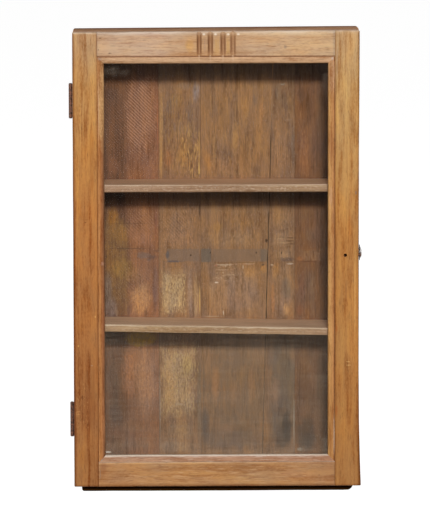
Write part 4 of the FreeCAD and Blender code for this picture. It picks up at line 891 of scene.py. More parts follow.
rightBead = {**beadGrain, "seed": 6.9, "toneAxis": "x", "contrast": 1.1,
             "tones": [(208, (0.46, 0.235, 0.08)), (211, (0.57, 0.295, 0.1)), (216, (0.5, 0.24, 0.082)),
                       (219, (0.44, 0.192, 0.064)), (221.5, (0.16, 0.062, 0.025))],
             "patches": [("oval", 214, -690, 8, 110, (0.42, 0.185, 0.055), 0.7, 0.6, 0.3),
                         ("oval", 215, -40, 9, 60, (0.5, 0.29, 0.16), 0.7, 0.6, 0.3),
                         ("oval", 214, -180, 5, 45, (0.34, 0.13, 0.045), 0.65, 0.7, 0.3),
                         ("oval", 214, -270, 5, 25, (0.45, 0.24, 0.14), 0.5, 0.7, 0.3),
                         ("oval", 220, -720, 1.8, 50, (0.58, 0.42, 0.3), 0.6, 0.6, 0.3)],
             "marks": [("oval", 216, -15, 4, 4, (0.56, 0.48, 0.42), 0.55, 0.8, 0.5),
                       ("oval", 218, -310, 2.2, 16, (0.3, 0.14, 0.07), 0.4, 0.7, 0.4)]}
topBead = {**beadGrain, "along": "x", "seed": 7.4,
           "tones": [(-222, (0.54, 0.325, 0.18)), (222, (0.55, 0.325, 0.175))],
           "edges": [("z", [(-23.5, (0.72, 0.62, 0.52)), (-21, (1, 1, 1)), (-13, (1.02, 1.02, 1.02)),
                            (-11.2, (0.8, 0.7, 0.62)), (-10.4, (0.45, 0.36, 0.32))])],
           "marks": [("oval", -217, -15, 6, 5, (0.36, 0.28, 0.23), 0.5, 0.8, 0.5),
                     ("oval", 217, -14, 3, 3, (0.6, 0.54, 0.48), 0.5, 0.8, 0.5)]
           + [("block", at, -15, 2.4, 7, (0.66, 0.45, 0.29), 0.4, 0.8, 0.2)
              for at, wide in topRail["flutes"]]}
bottomBead = {**beadGrain, "along": "x", "seed": 8.2,
              "tones": [(-222, (0.46, 0.258, 0.15)), (222, (0.45, 0.24, 0.138))],
              "dust": ((0.76, 0.64, 0.52), 0.97, 0.3, 0.75),
              "flecks": [(0, -765, 225, 8, 22, 1.6, (0.66, 0.48, 0.35), 0.55, 0.55),
                         (0, -765, 225, 8, 20, 1.5, (0.27, 0.12, 0.06), 0.5, 0.57)],
              "edges": [("z", [(-771.5, (0.9, 0.95, 1.05)), (-769.5, (1, 1, 1)), (-764, (0.94, 0.9, 0.9)),
                               (-760.5, (1.1, 1.25, 1.5)), (-758, (1.2, 1.5, 2.0))])],
              "marks": [("oval", -200, -760, 6, 1.6, (0.85, 0.78, 0.68), 0.8, 0.6, 0.3),
                        ("oval", -217, -766, 5, 5, (0.36, 0.3, 0.27), 0.5, 0.7, 0.5)]}


def makeBead(name, node, side, look):
    f = beadShape
    upright = side in ("left", "right")
    outer = {"left": -f["out"], "right": f["out"], "top": f["over"], "bottom": f["under"]}[side]
    into = 1 if side in ("left", "bottom") else -1
    inner = outer + into * f["wide"]
    low, high = (f["under"], f["over"]) if upright else (-f["out"], f["out"])

    def mitre(across, s):
        gap = min(max((across - outer) * into, 0), f["wide"])
        share = (s - low) / (high - low)
        return low + gap + (high - low - 2 * gap) * share

    def shape(a, b, s):
        return a, b, mitre(a if upright else b, s)

    corners = [(outer, f["front"], f["outRound"]), (inner, f["front"], f["round"]),
               (inner, f["back"], f["backRound"]), (outer, f["back"], 0)]
    if not upright:
        corners = [(b, a, r) for a, b, r in corners]
    along = 2 if upright else 0
    piece = wornPiece(name, "door", node, corners, along, low, high, look, shape)
    wearCoat(piece, woodFinish(name + "Wood", look))


for side, look in (("left", leftBead), ("right", rightBead), ("top", topBead), ("bottom", bottomBead)):
    makeBead(side + "Bead", "bead_" + side, side, look)
print("beads made")


# carcass boards

sideBoards = {
    "out": 267.5, "in": 250.5, "rebate": 258.5, "frontFace": -150, "rebateFace": -10, "backFace": 0,
    "foot": -817.5, "top": 22.5, "frontRounds": (1.6, 1.2), "backRounds": (0.5, 1.2),
    "seed": 9.3, "plane": "yz",
    "tones": [(38, (0.34, 0.175, 0.075)), (-400, (0.31, 0.15, 0.06)), (-820, (0.26, 0.12, 0.048))],
    "edges": [("y", [(-150, (0.6, 0.5, 0.42)), (-146, (1, 1, 1)), (-12, (1, 1, 1)),
                     (0, (0.6, 0.54, 0.48))]),
              ("z", [(-818, (0.4, 0.34, 0.3)), (-800, (0.8, 0.76, 0.72)), (-770, (1, 1, 1)), (0, (1, 1, 1)),
                     (22, (0.8, 0.76, 0.72))])],
    "patches": [("oval", -70, -380, 40, 120, (0.38, 0.19, 0.075), 0.6, 0.8, 0.5),
                ("oval", -40, -650, 40, 90, (0.22, 0.1, 0.045), 0.6, 0.8, 0.5),
                ("oval", -110, -200, 25, 80, (0.4, 0.2, 0.08), 0.5, 0.8, 0.5),
                ("oval", -30, -120, 18, 60, (0.25, 0.12, 0.055), 0.5, 0.8, 0.5)],
    "flecks": [(-75, -400, 90, 420, 2.0, 36, (0.17, 0.075, 0.03), 0.5, 0.58),
               (-75, -400, 90, 420, 2.0, 24, (0.45, 0.25, 0.11), 0.3, 0.59)],
    "marks": [("oval", -90, -520, 0.8, 40, (0.5, 0.32, 0.18), 0.5, 0.6, 0.6),
              ("oval", -52, -270, 14, 0.7, (0.16, 0.08, 0.04), 0.6, 0.6, 0.5),
              ("oval", -120, -640, 3, 2, (0.12, 0.06, 0.03), 0.7, 0.6, 0.4),
              ("oval", -28, -455, 2.4, 2.4, (0.12, 0.06, 0.03), 0.6, 0.6, 0.4)],
}
topBoard = {"along": "x", "plane": "xy", "seed": 10.7, "shine": 0.03, "rough": (0.8, 0.95),
            "endRound": (4, 5), "sag": 3.2, "backFlare": (0.8, 4.5),
            "tones": [(-268, (0.56, 0.3, 0.165)), (268, (0.62, 0.33, 0.18))],
            "edges": [("y", [(-150, (0.8, 0.72, 0.66)), (-144, (1.3, 1.3, 1.3)), (-100, (1.25, 1.25, 1.25)),
                             (-55, (0.9, 0.86, 0.8)), (-20, (0.5, 0.45, 0.42)), (0, (0.32, 0.28, 0.26))])],
            "flecks": [(0, -75, 280, 90, 40, 2.2, (0.3, 0.15, 0.08), 0.5, 0.57),
                       (0, -100, 280, 50, 30, 9, (0.85, 0.55, 0.36), 0.4, 0.55)],
            "marks": [("oval", 60, -60, 30, 16, (0.26, 0.15, 0.09), 0.4, 0.8, 0.5),
                      ("oval", -140, -100, 40, 20, (0.45, 0.27, 0.16), 0.35, 0.8, 0.5)]}
levelBoards = {"along": "x", "plane": "xy", "seed": 10.1, "shine": 0.1,
               "tones": [(-268, (0.30, 0.16, 0.085)), (268, (0.32, 0.17, 0.09))],
               "dust": ((0.4, 0.27, 0.18), 0.5, 0.45, 0.9)}
# the base board's near-black tone is painted shade: the door's shadow falling on it
baseStrip = {"along": "x", "seed": 11.9, "shine": 0.0, "rough": (0.85, 0.97), "endRound": (5, 13),
             "reach": 3.5,
             "tones": [(-260, (0.037, 0.0145, 0.003)), (260, (0.037, 0.0145, 0.003))], "contrast": 0.5}
cleats = {"along": "y", "seed": 12.4, "tones": [(-150, (0.2, 0.11, 0.06)), (0, (0.2, 0.11, 0.06))]}


def boxCorners(node, along, r):
    low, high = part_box(node)
    a, b = [k for k in range(3) if k != along]
    la, ha, lb, hb = low[a] / mm, high[a] / mm, low[b] / mm, high[b] / mm
    return [(la, lb, r), (ha, lb, r), (ha, hb, r), (la, hb, r)], low[along] / mm, high[along] / mm


for name, node, hand in (("leftSide", "side_left", -1), ("rightSide", "side_right", 1)):
    look = {**sideBoards, "seed": sideBoards["seed"] + hand}
    out, into, rebate = (hand * look[key] for key in ("out", "in", "rebate"))
    front, face, back = (look[key] for key in ("frontFace", "rebateFace", "backFace"))
    corners = [(out, front, look["frontRounds"][0]), (into, front, look["frontRounds"][1]), (into, face, 0),
               (rebate, face, 0), (rebate, back, look["backRounds"][0]), (out, back, look["backRounds"][1])]
    piece = wornPiece(name, "carcass", node, corners, 2, look["foot"], look["top"], look)
    if hand < 0:
        carve(piece, "carcass_nails", "hinge_leaf_carcass_upper", "hinge_leaf_carcass_lower",
              "hinge_screws_carcass")
    else:
        carve(piece, "carcass_nails", "hook_pivot")
    wearCoat(piece, woodFinish(name + "Wood", look))


flatDefaults = {"round": 1.5, "reach": 0, "endRound": (1, 1), "sag": 0,
                "backFlare": (0, 0), "flareOver": 0.8, "flareFrom": -150, "flareDeep": 110}


def makeFlatBoard(name, node, look, nails):
    look = {**flatDefaults, **look}
    corners, low, high = boxCorners(node, 0, look["round"])
    high += look["reach"]
    leftRound, rightRound = look["endRound"]
    topEdge, lowEdge = corners[2][1], corners[0][1]

    def shape(a, b, s):
        drop = roundIn(s - low, leftRound) + roundIn(high - s, rightRound)
        drop += look["sag"] * (high - s) / (high - low)
        if node == "top_board":
            b = min(b, topEdge - drop)
        elif node == "base_board":
            b = max(b, lowEdge + drop)
        nearEnd = max(0, abs(s) / high - look["flareOver"]) / (1 - look["flareOver"])
        nearBack = min(1, max(0, (a - look["flareFrom"]) / look["flareDeep"]))
        flare = look["backFlare"][1] if s > 0 else -look["backFlare"][0]
        return a, b, s + flare * nearEnd * nearBack

    piece = wornPiece(name, "carcass", node, corners, 0, low, high, look, shape)
    carve(piece, nails)
    wearCoat(piece, woodFinish(name + "Wood", look))


makeFlatBoard("topBoard", "top_board", topBoard, "carcass_nails")
makeFlatBoard("bottomBoard", "bottom_board", levelBoards, "carcass_nails")
makeFlatBoard("baseBoard", "base_board", baseStrip, "base_nails")
# the nails in the top follow its sag
data = nodes["carcass_nails"].data.copy()
for v in data.vertices:
    if v.co.z > 0:
        v.co.z -= topBoard["sag"] * mm * (sideBoards["out"] - v.co.x / mm) / (2 * sideBoards["out"])
addPiece("carcassNails", data, "carcass", "carcass_nails")
dressWood("hanging_rail", levelBoards)
for node in ("cleat_upper_left", "cleat_upper_right", "cleat_lower_left", "cleat_lower_right"):
    dressWood(node, cleats)
print("carcass made")


# shelves: the lower one has dropped at its right end

upperShelf = {"along": "x", "seed": 13.6, "rise": 0.2, "thick": 13.9, "round": 0.6, "frontRound": 2.0,
              "wear": 0.7, "wave": 0.4,
              # the paler up-facing tone is a painted sheen with some dust, and the arris highlight tone a
              # painted highlight on the worn top front edge
              "rough": (0.45, 0.65), "shine": 0.15, "dust": ((0.82, 0.5, 0.31), 0.95, 0.6, 0.95),
              "arrisHighlight": ((0.68, 0.5, 0.36), 0.9, 0.1, 0.45),
              "tones": [(-250, (0.385, 0.22, 0.132)), (-120, (0.39, 0.225, 0.132)),
                        (60, (0.40, 0.237, 0.138)), (180, (0.43, 0.262, 0.145)),
                        (250, (0.40, 0.25, 0.148))],
              "flecks": [(0, -258, 260, 8, 6, 2.4, (0.64, 0.46, 0.34), 0.6, 0.55),
                         (0, -258, 260, 8, 8, 2.0, (0.24, 0.12, 0.07), 0.5, 0.56)],
              # painted shade along the lower front edge, and a painted highlight along the top front edge
              "edges": [("z", [(-264.7, (0.75, 0.7, 0.66)), (-262, (1, 1, 1)), (-255, (1, 1, 1)),
                               (-252.6, (1.15, 1.25, 1.4)), (-251, (1.2, 1.4, 1.6))])]}
lowerShelf = {"along": "x", "seed": 14.2, "rise": -9.9, "thick": 13.6, "round": 0.6, "frontRound": 3.4,
              "wear": 0.7, "wave": 0.4,
              # the paler up-facing tone is a painted sheen with some dust, and the arris highlight tone a
              # painted highlight on the worn top front edge
              "rough": (0.45, 0.65), "shine": 0.15, "dust": ((0.86, 0.57, 0.38), 0.95, 0.6, 0.95),
              "arrisHighlight": ((0.8, 0.63, 0.46), 0.85, 0.1, 0.45),
              "tones": [(-250, (0.41, 0.24, 0.132)), (-130, (0.45, 0.268, 0.13)), (20, (0.42, 0.25, 0.132)),
                        (250, (0.385, 0.222, 0.126))],
              "flecks": [(0, -522, 260, 14, 7, 2.4, (0.64, 0.44, 0.29), 0.5, 0.55),
                         (0, -522, 260, 14, 8, 2.0, (0.26, 0.14, 0.08), 0.45, 0.57)]}


def makeShelf(name, node, look):
    corners, low, high = boxCorners(node, 0, look["round"])
    front, (back, top, r) = corners[0][0], corners[2]
    top -= max(0, look["rise"])
    foot = top - look["thick"]
    corners = [(front, foot, r), (back, foot, r), (back, top, r), (front, top, look["frontRound"])]

    def shape(a, b, s):
        return a, b + look["rise"] * (s - low) / (high - low), s

    piece = wornPiece(name, "carcass", node, corners, 0, low, high, look, shape)
    wearCoat(piece, woodFinish(name + "Wood", look))


makeShelf("upperShelf", "shelf_upper", upperShelf)
makeShelf("lowerShelf", "shelf_lower", lowerShelf)
print("shelves made")


# back planks with painted shade under the top and the shelves, the dirt packed into their joints, and a
# crack filled with dirt and painted shade

plankCommon = {"toneAxis": "x", "rough": (0.75, 0.95), "shine": 0.06, "bump": 0.5, "front": True,
               "contrast": 1.15,
               "dark": (0.66, 0.62, 0.57), "light": (1.27, 1.22, 1.08),
               "cloud": (20, 60), "line": (2.6, 52), "band": (8, 110), "mottle": (2.8, 6),
               "fibre": (1.3, 34),
               "mix": (0.2, 0.18, 0.12, 0.25, 0.25), "wander": 4, "hue": 0.8,
               # painted shade: the planks darken under the top, under the upper shelf and under the lower
               # shelf, where shadows fall
               "edges": [("z", [(-572, (1, 1, 1)), (-556, (0.9, 0.92, 0.95)), (-537, (0.82, 0.87, 0.95)),
                                (-527, (1, 1, 1)), (-302, (1, 1, 1)), (-288, (0.54, 0.54, 0.57)),
                                (-264, (0.43, 0.46, 0.52)), (-256, (1, 1, 1)), (-68, (1, 1, 1)),
                                (-51, (0.63, 0.72, 0.85)), (-24, (0.5, 0.68, 0.95))])]}
plank1 = {
    **plankCommon, "seed": 15.1,
    "tones": [(-258, (0.16, 0.077, 0.043)), (-200, (0.169, 0.081, 0.046)), (-185, (0.149, 0.071, 0.041)),
              (-173, (0.181, 0.088, 0.051)), (-166, (0.24, 0.113, 0.064)), (-159, (0.283, 0.131, 0.073)),
              (-107, (0.285, 0.131, 0.073))],
    "saw": [(-142, -128, 38, 98, 45, 4.6, (0.66, 0.36, 0.23), 0.5),
            (-190, -140, 30, 92, 45, 4.6, (0.27, 0.14, 0.085), 0.5),
            (-140, -340, 40, 46, 45, 4.6, (0.46, 0.23, 0.13), 0.4),
            (-150, -440, 50, 70, 45, 4.6, (0.46, 0.24, 0.12), 0.25)],
    "patches": seen(plankView, [
        (155.5, 115, 2.6, 50, (150, 92, 68), 0.15, 0.7, 0.3), (112, 94, 11, 12, (98, 74, 60), 0.5),
        (112, 165, 10, 14, (122, 84, 62), 0.5), ("block", 117, 262, 14, 54, (126, 92, 58), 0.85, 0.4),
        (112, 216, 9, 12, (134, 92, 46), 0.75), (121, 232, 12, 14, (138, 99, 56), 0.7, 0.6),
        (122.5, 268, 14, 15, (139, 104, 58), 0.8, 0.6), (146, 219, 12, 12, (132, 93, 69), 0.7),
        (143, 238, 14, 9, (148, 104, 80), 0.7), (107, 222, 3, 20, (100, 84, 70), 0.3),
        (108, 290, 5, 30, (122, 102, 86), 0.7), (141, 298, 13, 22, (172, 126, 86), 0.95, 0.6),
        (134, 275, 12, 10, (150, 110, 76), 0.6), (112, 308, 9, 17, (128, 105, 90), 0.75),
        (155.5, 287, 3.8, 28, (120, 92, 82), 0.75, 0.6, 0.2),
        (155.8, 225, 2, 22, (126, 80, 66), 0.5, 0.7, 0.2),
        (141, 338, 18, 9, (190, 150, 52), 0.95, 0.4, 0.1), (112, 385, 10, 48, (112, 89, 74), 0.8),
        (129.5, 372, 10, 36, (172, 118, 82), 0.65, 0.8), (146, 380, 15, 44, (163, 120, 91), 0.9, 0.6),
        (134, 425, 15, 9, (136, 98, 70), 0.7), (132, 445, 27, 9, (141, 110, 88), 0.65),
        (114, 412, 10, 14, (96, 80, 70), 0.65), (122, 437, 12, 6, (138, 100, 76), 0.5),
    ]),
    "marks": [
        ("block", -160, -650, 56, 128, (0.25, 0.13, 0.078), 0.12, 0.3, 0.25),
        ("block", -142, -550, 37, 12, (0.5, 0.3, 0.04), 0.45, 0.5, 0.25),
        ("oval", -188, -672, 14, 64, (0.1, 0.062, 0.045), 0.45, 0.9, 0.5),
        ("oval", -190, -735, 24, 16, (0.3, 0.13, 0.07), 0.35, 0.9, 0.5),
        *seen(plankView, [
            (158, 125, 0.9, 46, (168, 98, 66), 0.6, 0.7, 0.2),
            (152, 256, 6, 3.2, (92, 76, 70), 0.6, 0.7, 0.6),
            (160, 250, 10, 1.6, (104, 80, 66), 0.5, 0.7, 0.6),
            (129, 222.5, 27, 0.8, (85, 60, 38), 0.35, 0.6, 0.3),
            (129, 247.6, 26, 0.7, (88, 64, 46), 0.6, 0.6, 0.15),
            (143, 254.5, 8.5, 4.5, (118, 96, 84), 0.7, 0.6, 0.5),
            (149, 259, 4, 1.5, (105, 88, 80), 0.6, 0.7, 0.5),
            (108, 452, 4, 1, (225, 215, 200), 0.7, 0.5, 0.3), (106.5, 256, 0.7, 2, (70, 56, 42), 0.6),
            (131, 203, 4, 0.8, (80, 56, 40), 0.5),
        ]),
    ],
}
plank2 = {
    **plankCommon, "seed": 16.7, "tones": [(-107, (0.3, 0.16, 0.086)), (-30, (0.292, 0.16, 0.09))],
    "saw": [(-75, -340, 34, 40, 45, 4.6, (0.46, 0.26, 0.15), 0.4)],
    "patches": seen(plankView, [
        (161.5, 118, 2, 40, (172, 130, 80), 0.6, 0.8, 0.5),
        (161, 158, 1.8, 24, (176, 134, 80), 0.6, 0.7, 0.5),
        (196, 92, 4.5, 12, (138, 126, 122), 0.65, 0.8), (184, 86, 9, 5, (130, 112, 100), 0.4),
        (172, 116, 7, 6, (108, 74, 46), 0.45), (168, 158, 6, 14, (150, 98, 62), 0.6),
        (183, 150, 8, 20, (160, 116, 66), 0.5), (176, 100, 7, 10, (150, 112, 66), 0.45),
        (179, 216, 20, 9, (128, 95, 70), 0.5),
        ("block", 179, 238, 19, 9, (150, 111, 82), 0.7, 0.6, 0.3),
        ("block", 173.5, 292, 14, 24, (173, 142, 104), 0.97, 0.5, 0.2),
        (190, 292, 3.6, 28, (151, 124, 105), 0.85, 0.6, 0.2),
        (196, 294, 3.4, 28, (168, 134, 98), 0.8, 0.6, 0.2), (178, 272, 17, 8, (156, 122, 90), 0.6),
        ("block", 178, 380, 20, 44, (169, 136, 102), 0.93, 0.55, 0.3),
        (187, 364, 8, 13, (178, 145, 92), 0.6), (182, 430, 18, 12, (150, 120, 92), 0.75),
        (176, 446, 26, 9, (148, 121, 98), 0.75), (200, 402, 4, 58, (121, 102, 85), 0.85, 0.6, 0.15),
        (170, 392, 6, 14, (160, 126, 92), 0.5),
    ]),
    "marks": seen(plankView, [
        ("block", 183, 254.3, 17.5, 6.7, (122, 100, 83), 0.7, 0.14, 0.05),
        (167.5, 254, 2.6, 6, (92, 84, 80), 0.8, 0.6, 0.25),
        (173.5, 260.6, 11, 1.5, (84, 80, 81), 0.7, 0.6, 0.4),
        (199.2, 148, 0.9, 26, (188, 146, 84), 0.6, 0.7, 0.4),
        (199, 168, 1.4, 9, (200, 160, 92), 0.7, 0.7, 0.5),
        (160.2, 130, 0.7, 44, (180, 136, 80), 0.45, 0.7, 0.4),
        (199.6, 299, 1.1, 19, (192, 152, 92), 0.8, 0.7, 0.15),
        (199.6, 209, 1, 12, (66, 48, 36), 0.75, 0.7, 0.1),
        (159.8, 405, 1, 50, (172, 152, 132), 0.5, 0.7, 0.2),
        (190.8, 254.3, 1, 1.2, (40, 28, 22), 0.95, 0.6, 0.1),
        (179, 404, 5, 2, (170, 150, 130), 0.35, 0.8, 0.6),
    ]),
    "flecks": seenFlecks(plankView, [
        (180, 130, 20, 52, 1.7, 17, (166, 124, 74), 0.5, 0.52),
        (180, 130, 20, 52, 1.7, 14, (94, 70, 52), 0.5, 0.55),
        (190, 152, 11, 30, 1.5, 12, (194, 150, 88), 0.6, 0.53),
        (190, 152, 11, 30, 1.4, 8, (86, 60, 42), 0.5, 0.56),
        (178, 112, 18, 26, 1.8, 20, (112, 98, 88), 0.4, 0.55),
        (179, 222, 20, 24, 1.8, 8, (96, 66, 44), 0.5, 0.56),
        (179, 222, 20, 24, 1.8, 9, (176, 130, 88), 0.45, 0.56),
        (174, 294, 16, 26, 2, 7, (205, 172, 120), 0.6, 0.54),
        (174, 294, 16, 26, 1.8, 6, (118, 84, 58), 0.5, 0.56),
        (180, 376, 22, 44, 2, 8, (196, 164, 108), 0.36, 0.54),
        (180, 376, 22, 44, 1.8, 7, (100, 76, 55), 0.3, 0.56),
    ]),
}
plank3 = {
    **plankCommon, "seed": 17.3, "tones": [(-27, (0.308, 0.167, 0.088)), (110, (0.308, 0.168, 0.088))],
    "patches": seen(plankView, [
        (235, 137, 4, 28, (172, 126, 74), 0.7, 0.8, 0.25),
        (214, 150, 3, 24, (164, 120, 70), 0.55, 0.8, 0.25),
        (246, 112, 3, 22, (160, 118, 74), 0.5, 0.8, 0.25), (210, 100, 8, 20, (128, 98, 74), 0.5),
        (208, 163, 5, 16, (166, 116, 66), 0.6, 0.8), (255.5, 96, 3, 16, (113, 94, 80), 0.55),
        (261.5, 112, 2.6, 24, (168, 120, 78), 0.6), (225, 165, 16, 11, (150, 110, 76), 0.5),
        (246, 150, 6, 24, (124, 92, 64), 0.5), (222, 118, 4, 26, (126, 94, 64), 0.5, 0.8, 0.25),
        ("block", 233, 237, 29, 9, (152, 116, 83), 0.75, 0.6, 0.3),
        (218, 226, 8, 6, (160, 118, 70), 0.5), (246, 222, 9, 8, (146, 106, 66), 0.5),
        ("block", 234, 290, 29, 25, (149, 117, 92), 0.75, 0.5, 0.3),
        (263.5, 268, 4, 6, (172, 122, 70), 0.75), (250, 272, 8, 8, (166, 124, 82), 0.6),
        (212, 290, 5, 18, (160, 126, 94), 0.5), (236, 300, 14, 10, (140, 106, 82), 0.5),
        (235, 390, 36, 60, (126, 101, 79), 0.9, 0.4), (216, 380, 5, 26, (154, 112, 74), 0.75),
        (224, 394, 4, 20, (146, 108, 74), 0.6), (252, 386, 5, 24, (154, 112, 73), 0.65),
        (240, 372, 6, 18, (140, 108, 78), 0.5), (238, 431, 11, 8, (112, 84, 60), 0.65),
        ("block", 232, 439, 29, 13, (116, 97, 83), 0.7, 0.6, 0.4),
        (206, 425, 5, 24, (96, 84, 75), 0.85), (228, 356, 14, 9, (134, 106, 82), 0.5),
        (203.5, 385, 2, 40, (100, 86, 74), 0.6, 0.7, 0.2),
    ]),
    "marks": [
        ("block", 34, -650, 68, 128, (0.24, 0.145, 0.088), 0.25, 0.3, 0.25),
        ("oval", 0, -649, 10, 42, (0.46, 0.225, 0.105), 0.6, 0.8, 0.5),
        ("oval", 69, -640, 8, 46, (0.37, 0.2, 0.105), 0.5, 0.8, 0.5),
        ("oval", 34, -664, 16, 34, (0.36, 0.195, 0.105), 0.45, 0.8, 0.5),
        ("oval", 22, -730, 22, 14, (0.36, 0.19, 0.105), 0.4, 0.8, 0.5),
        ("oval", -24, -716, 8, 48, (0.12, 0.095, 0.08), 0.55, 0.8, 0.5),
        ("oval", -12, -748, 16, 24, (0.14, 0.11, 0.095), 0.4, 0.8, 0.5),
        *seen(plankView, [
            ("block", 206, 254.5, 5.5, 7.2, (105, 92, 79), 0.85, 0.14, 0.04),
            ("block", 238, 254.4, 27, 6.8, (124, 100, 80), 0.68, 0.12, 0.04),
            ("block", 264, 254.5, 4, 7, (110, 95, 80), 0.7, 0.3, 0.1),
            (210.2, 251.7, 0.9, 1.1, (38, 28, 22), 0.95, 0.6, 0.1),
            (256.3, 251.8, 0.9, 1.2, (40, 28, 22), 0.95, 0.6, 0.1),
            (243, 266, 0.8, 3, (190, 168, 140), 0.7, 0.7, 0.2),
            (216.5, 281.6, 2.5, 0.9, (215, 198, 175), 0.75, 0.6, 0.4),
            (225, 264, 11, 1, (186, 160, 130), 0.75, 0.6, 0.7),
            (222, 269, 9, 0.9, (176, 148, 116), 0.6, 0.6, 0.8),
            (228, 274, 8, 0.9, (172, 144, 112), 0.55, 0.6, 0.8),
            (248, 263, 9, 1, (172, 142, 112), 0.6, 0.6, 0.7),
            (216, 264.5, 1.4, 1, (150, 80, 55), 0.7, 0.6, 0.3),
            (266.5, 240, 1.8, 2.6, (60, 42, 32), 0.85, 0.7, 0.3), (263, 264, 2, 1.6, (70, 56, 46), 0.8),
            (238, 261.6, 26, 0.7, (98, 76, 58), 0.5, 0.6, 0.3),
            (223.4, 312, 0.6, 3, (205, 190, 168), 0.7, 0.6, 0.1),
            (212, 315.5, 11, 0.7, (190, 165, 135), 0.45, 0.6, 0.3),
        ]),
    ],
    "flecks": seenFlecks(plankView, [
        (225, 272, 14, 11, 4.5, 2.6, (188, 158, 126), 0.6, 0.56),
        (236, 130, 34, 60, 2.4, 26, (172, 126, 74), 0.4, 0.56),
        (236, 130, 34, 60, 2.2, 24, (96, 66, 42), 0.4, 0.57),
        (236, 222, 30, 24, 2.2, 20, (170, 124, 76), 0.4, 0.56),
        (236, 222, 30, 24, 2, 18, (100, 70, 46), 0.4, 0.56),
        (235, 390, 34, 55, 2.6, 16, (160, 116, 76), 0.4, 0.56),
    ]),
}
plank4 = {
    **plankCommon, "seed": 18.9, "tones": [(89, (0.285, 0.156, 0.086)), (150, (0.28, 0.154, 0.085))],
    "patches": seen(plankView, [
        (282, 100, 11, 14, (118, 90, 66), 0.6), (290, 104, 4, 18, (148, 110, 72), 0.5),
        (293, 150, 2.6, 32, (108, 90, 76), 0.65, 0.7, 0.15), (278, 92, 4, 14, (112, 98, 86), 0.4),
        (281, 148, 10, 30, (142, 107, 79), 0.75), (276, 140, 3, 26, (156, 114, 76), 0.5, 0.8, 0.25),
        (287, 128, 3, 20, (152, 110, 74), 0.5, 0.8, 0.25), (282, 220, 13, 14, (147, 110, 76), 0.8),
        ("block", 282, 238, 11.5, 9, (153, 117, 85), 0.9, 0.6, 0.3),
        ("block", 283, 254, 11, 7, (146, 114, 86), 0.85, 0.6, 0.3),
        (287, 258.5, 10, 3, (98, 77, 66), 0.88, 0.6, 0.4),
        ("block", 282, 274, 11.5, 11, (146, 113, 85), 0.8, 0.6, 0.3),
        (275.5, 270, 5, 10, (167, 121, 75), 0.85), (284, 296, 12, 22, (142, 112, 90), 0.85),
        (286, 288, 9, 13, (118, 98, 82), 0.85), (273, 299, 3, 20, (160, 112, 74), 0.8),
        (286, 309, 4, 9, (175, 134, 94), 0.85), (283, 390, 16, 62, (116, 98, 82), 0.95, 0.35),
        (286, 426, 7, 20, (78, 68, 60), 0.9, 0.5, 0.5), (283, 438, 12, 17, (92, 78, 68), 0.9, 0.6),
        (272, 395, 6, 17, (142, 104, 74), 0.65), (279, 410, 14, 4, (113, 84, 62), 0.5),
        (288, 370, 4, 16, (102, 90, 80), 0.5),
    ]),
    "marks": [
        ("block", 124, -650, 30, 128, (0.165, 0.112, 0.08), 0.25, 0.3, 0.25),
        ("oval", 115, -660, 11, 42, (0.38, 0.215, 0.13), 0.6, 0.8, 0.5),
        ("oval", 136, -734, 14, 34, (0.06, 0.052, 0.047), 0.6, 0.9, 0.5),
        *seen(plankView, [
            (283, 84, 4.5, 1.6, (160, 150, 134), 0.45, 0.7, 0.7),
            (281.4, 252, 0.8, 1.6, (42, 30, 24), 0.95, 0.6, 0.1),
            (290, 262.8, 5, 1, (182, 162, 140), 0.7, 0.6, 0.6),
            (290.5, 237, 5, 0.8, (92, 66, 46), 0.85, 0.6, 0.5),
            (290, 240, 5.5, 0.8, (92, 66, 46), 0.8, 0.6, 0.5),
            (291, 243, 4.5, 0.8, (98, 70, 50), 0.75, 0.6, 0.5),
            (283, 242, 8, 0.7, (186, 152, 112), 0.5, 0.6, 0.5),
            (280, 238, 6, 0.7, (184, 150, 110), 0.45, 0.6, 0.5),
            (272, 264, 2, 1.3, (196, 170, 140), 0.6, 0.7, 0.5),
            (294, 423, 0.9, 30, (168, 152, 132), 0.6, 0.6, 0.15),
            (288, 119.5, 6, 0.7, (150, 125, 100), 0.5, 0.6, 0.3),
        ]),
    ],
    "flecks": seenFlecks(plankView, [
        (282, 140, 13, 60, 2.2, 22, (92, 64, 42), 0.4, 0.57),
        (282, 140, 13, 60, 2.2, 22, (168, 124, 78), 0.35, 0.57),
        (282, 235, 12, 30, 2, 16, (176, 132, 86), 0.4, 0.56),
    ]),
}
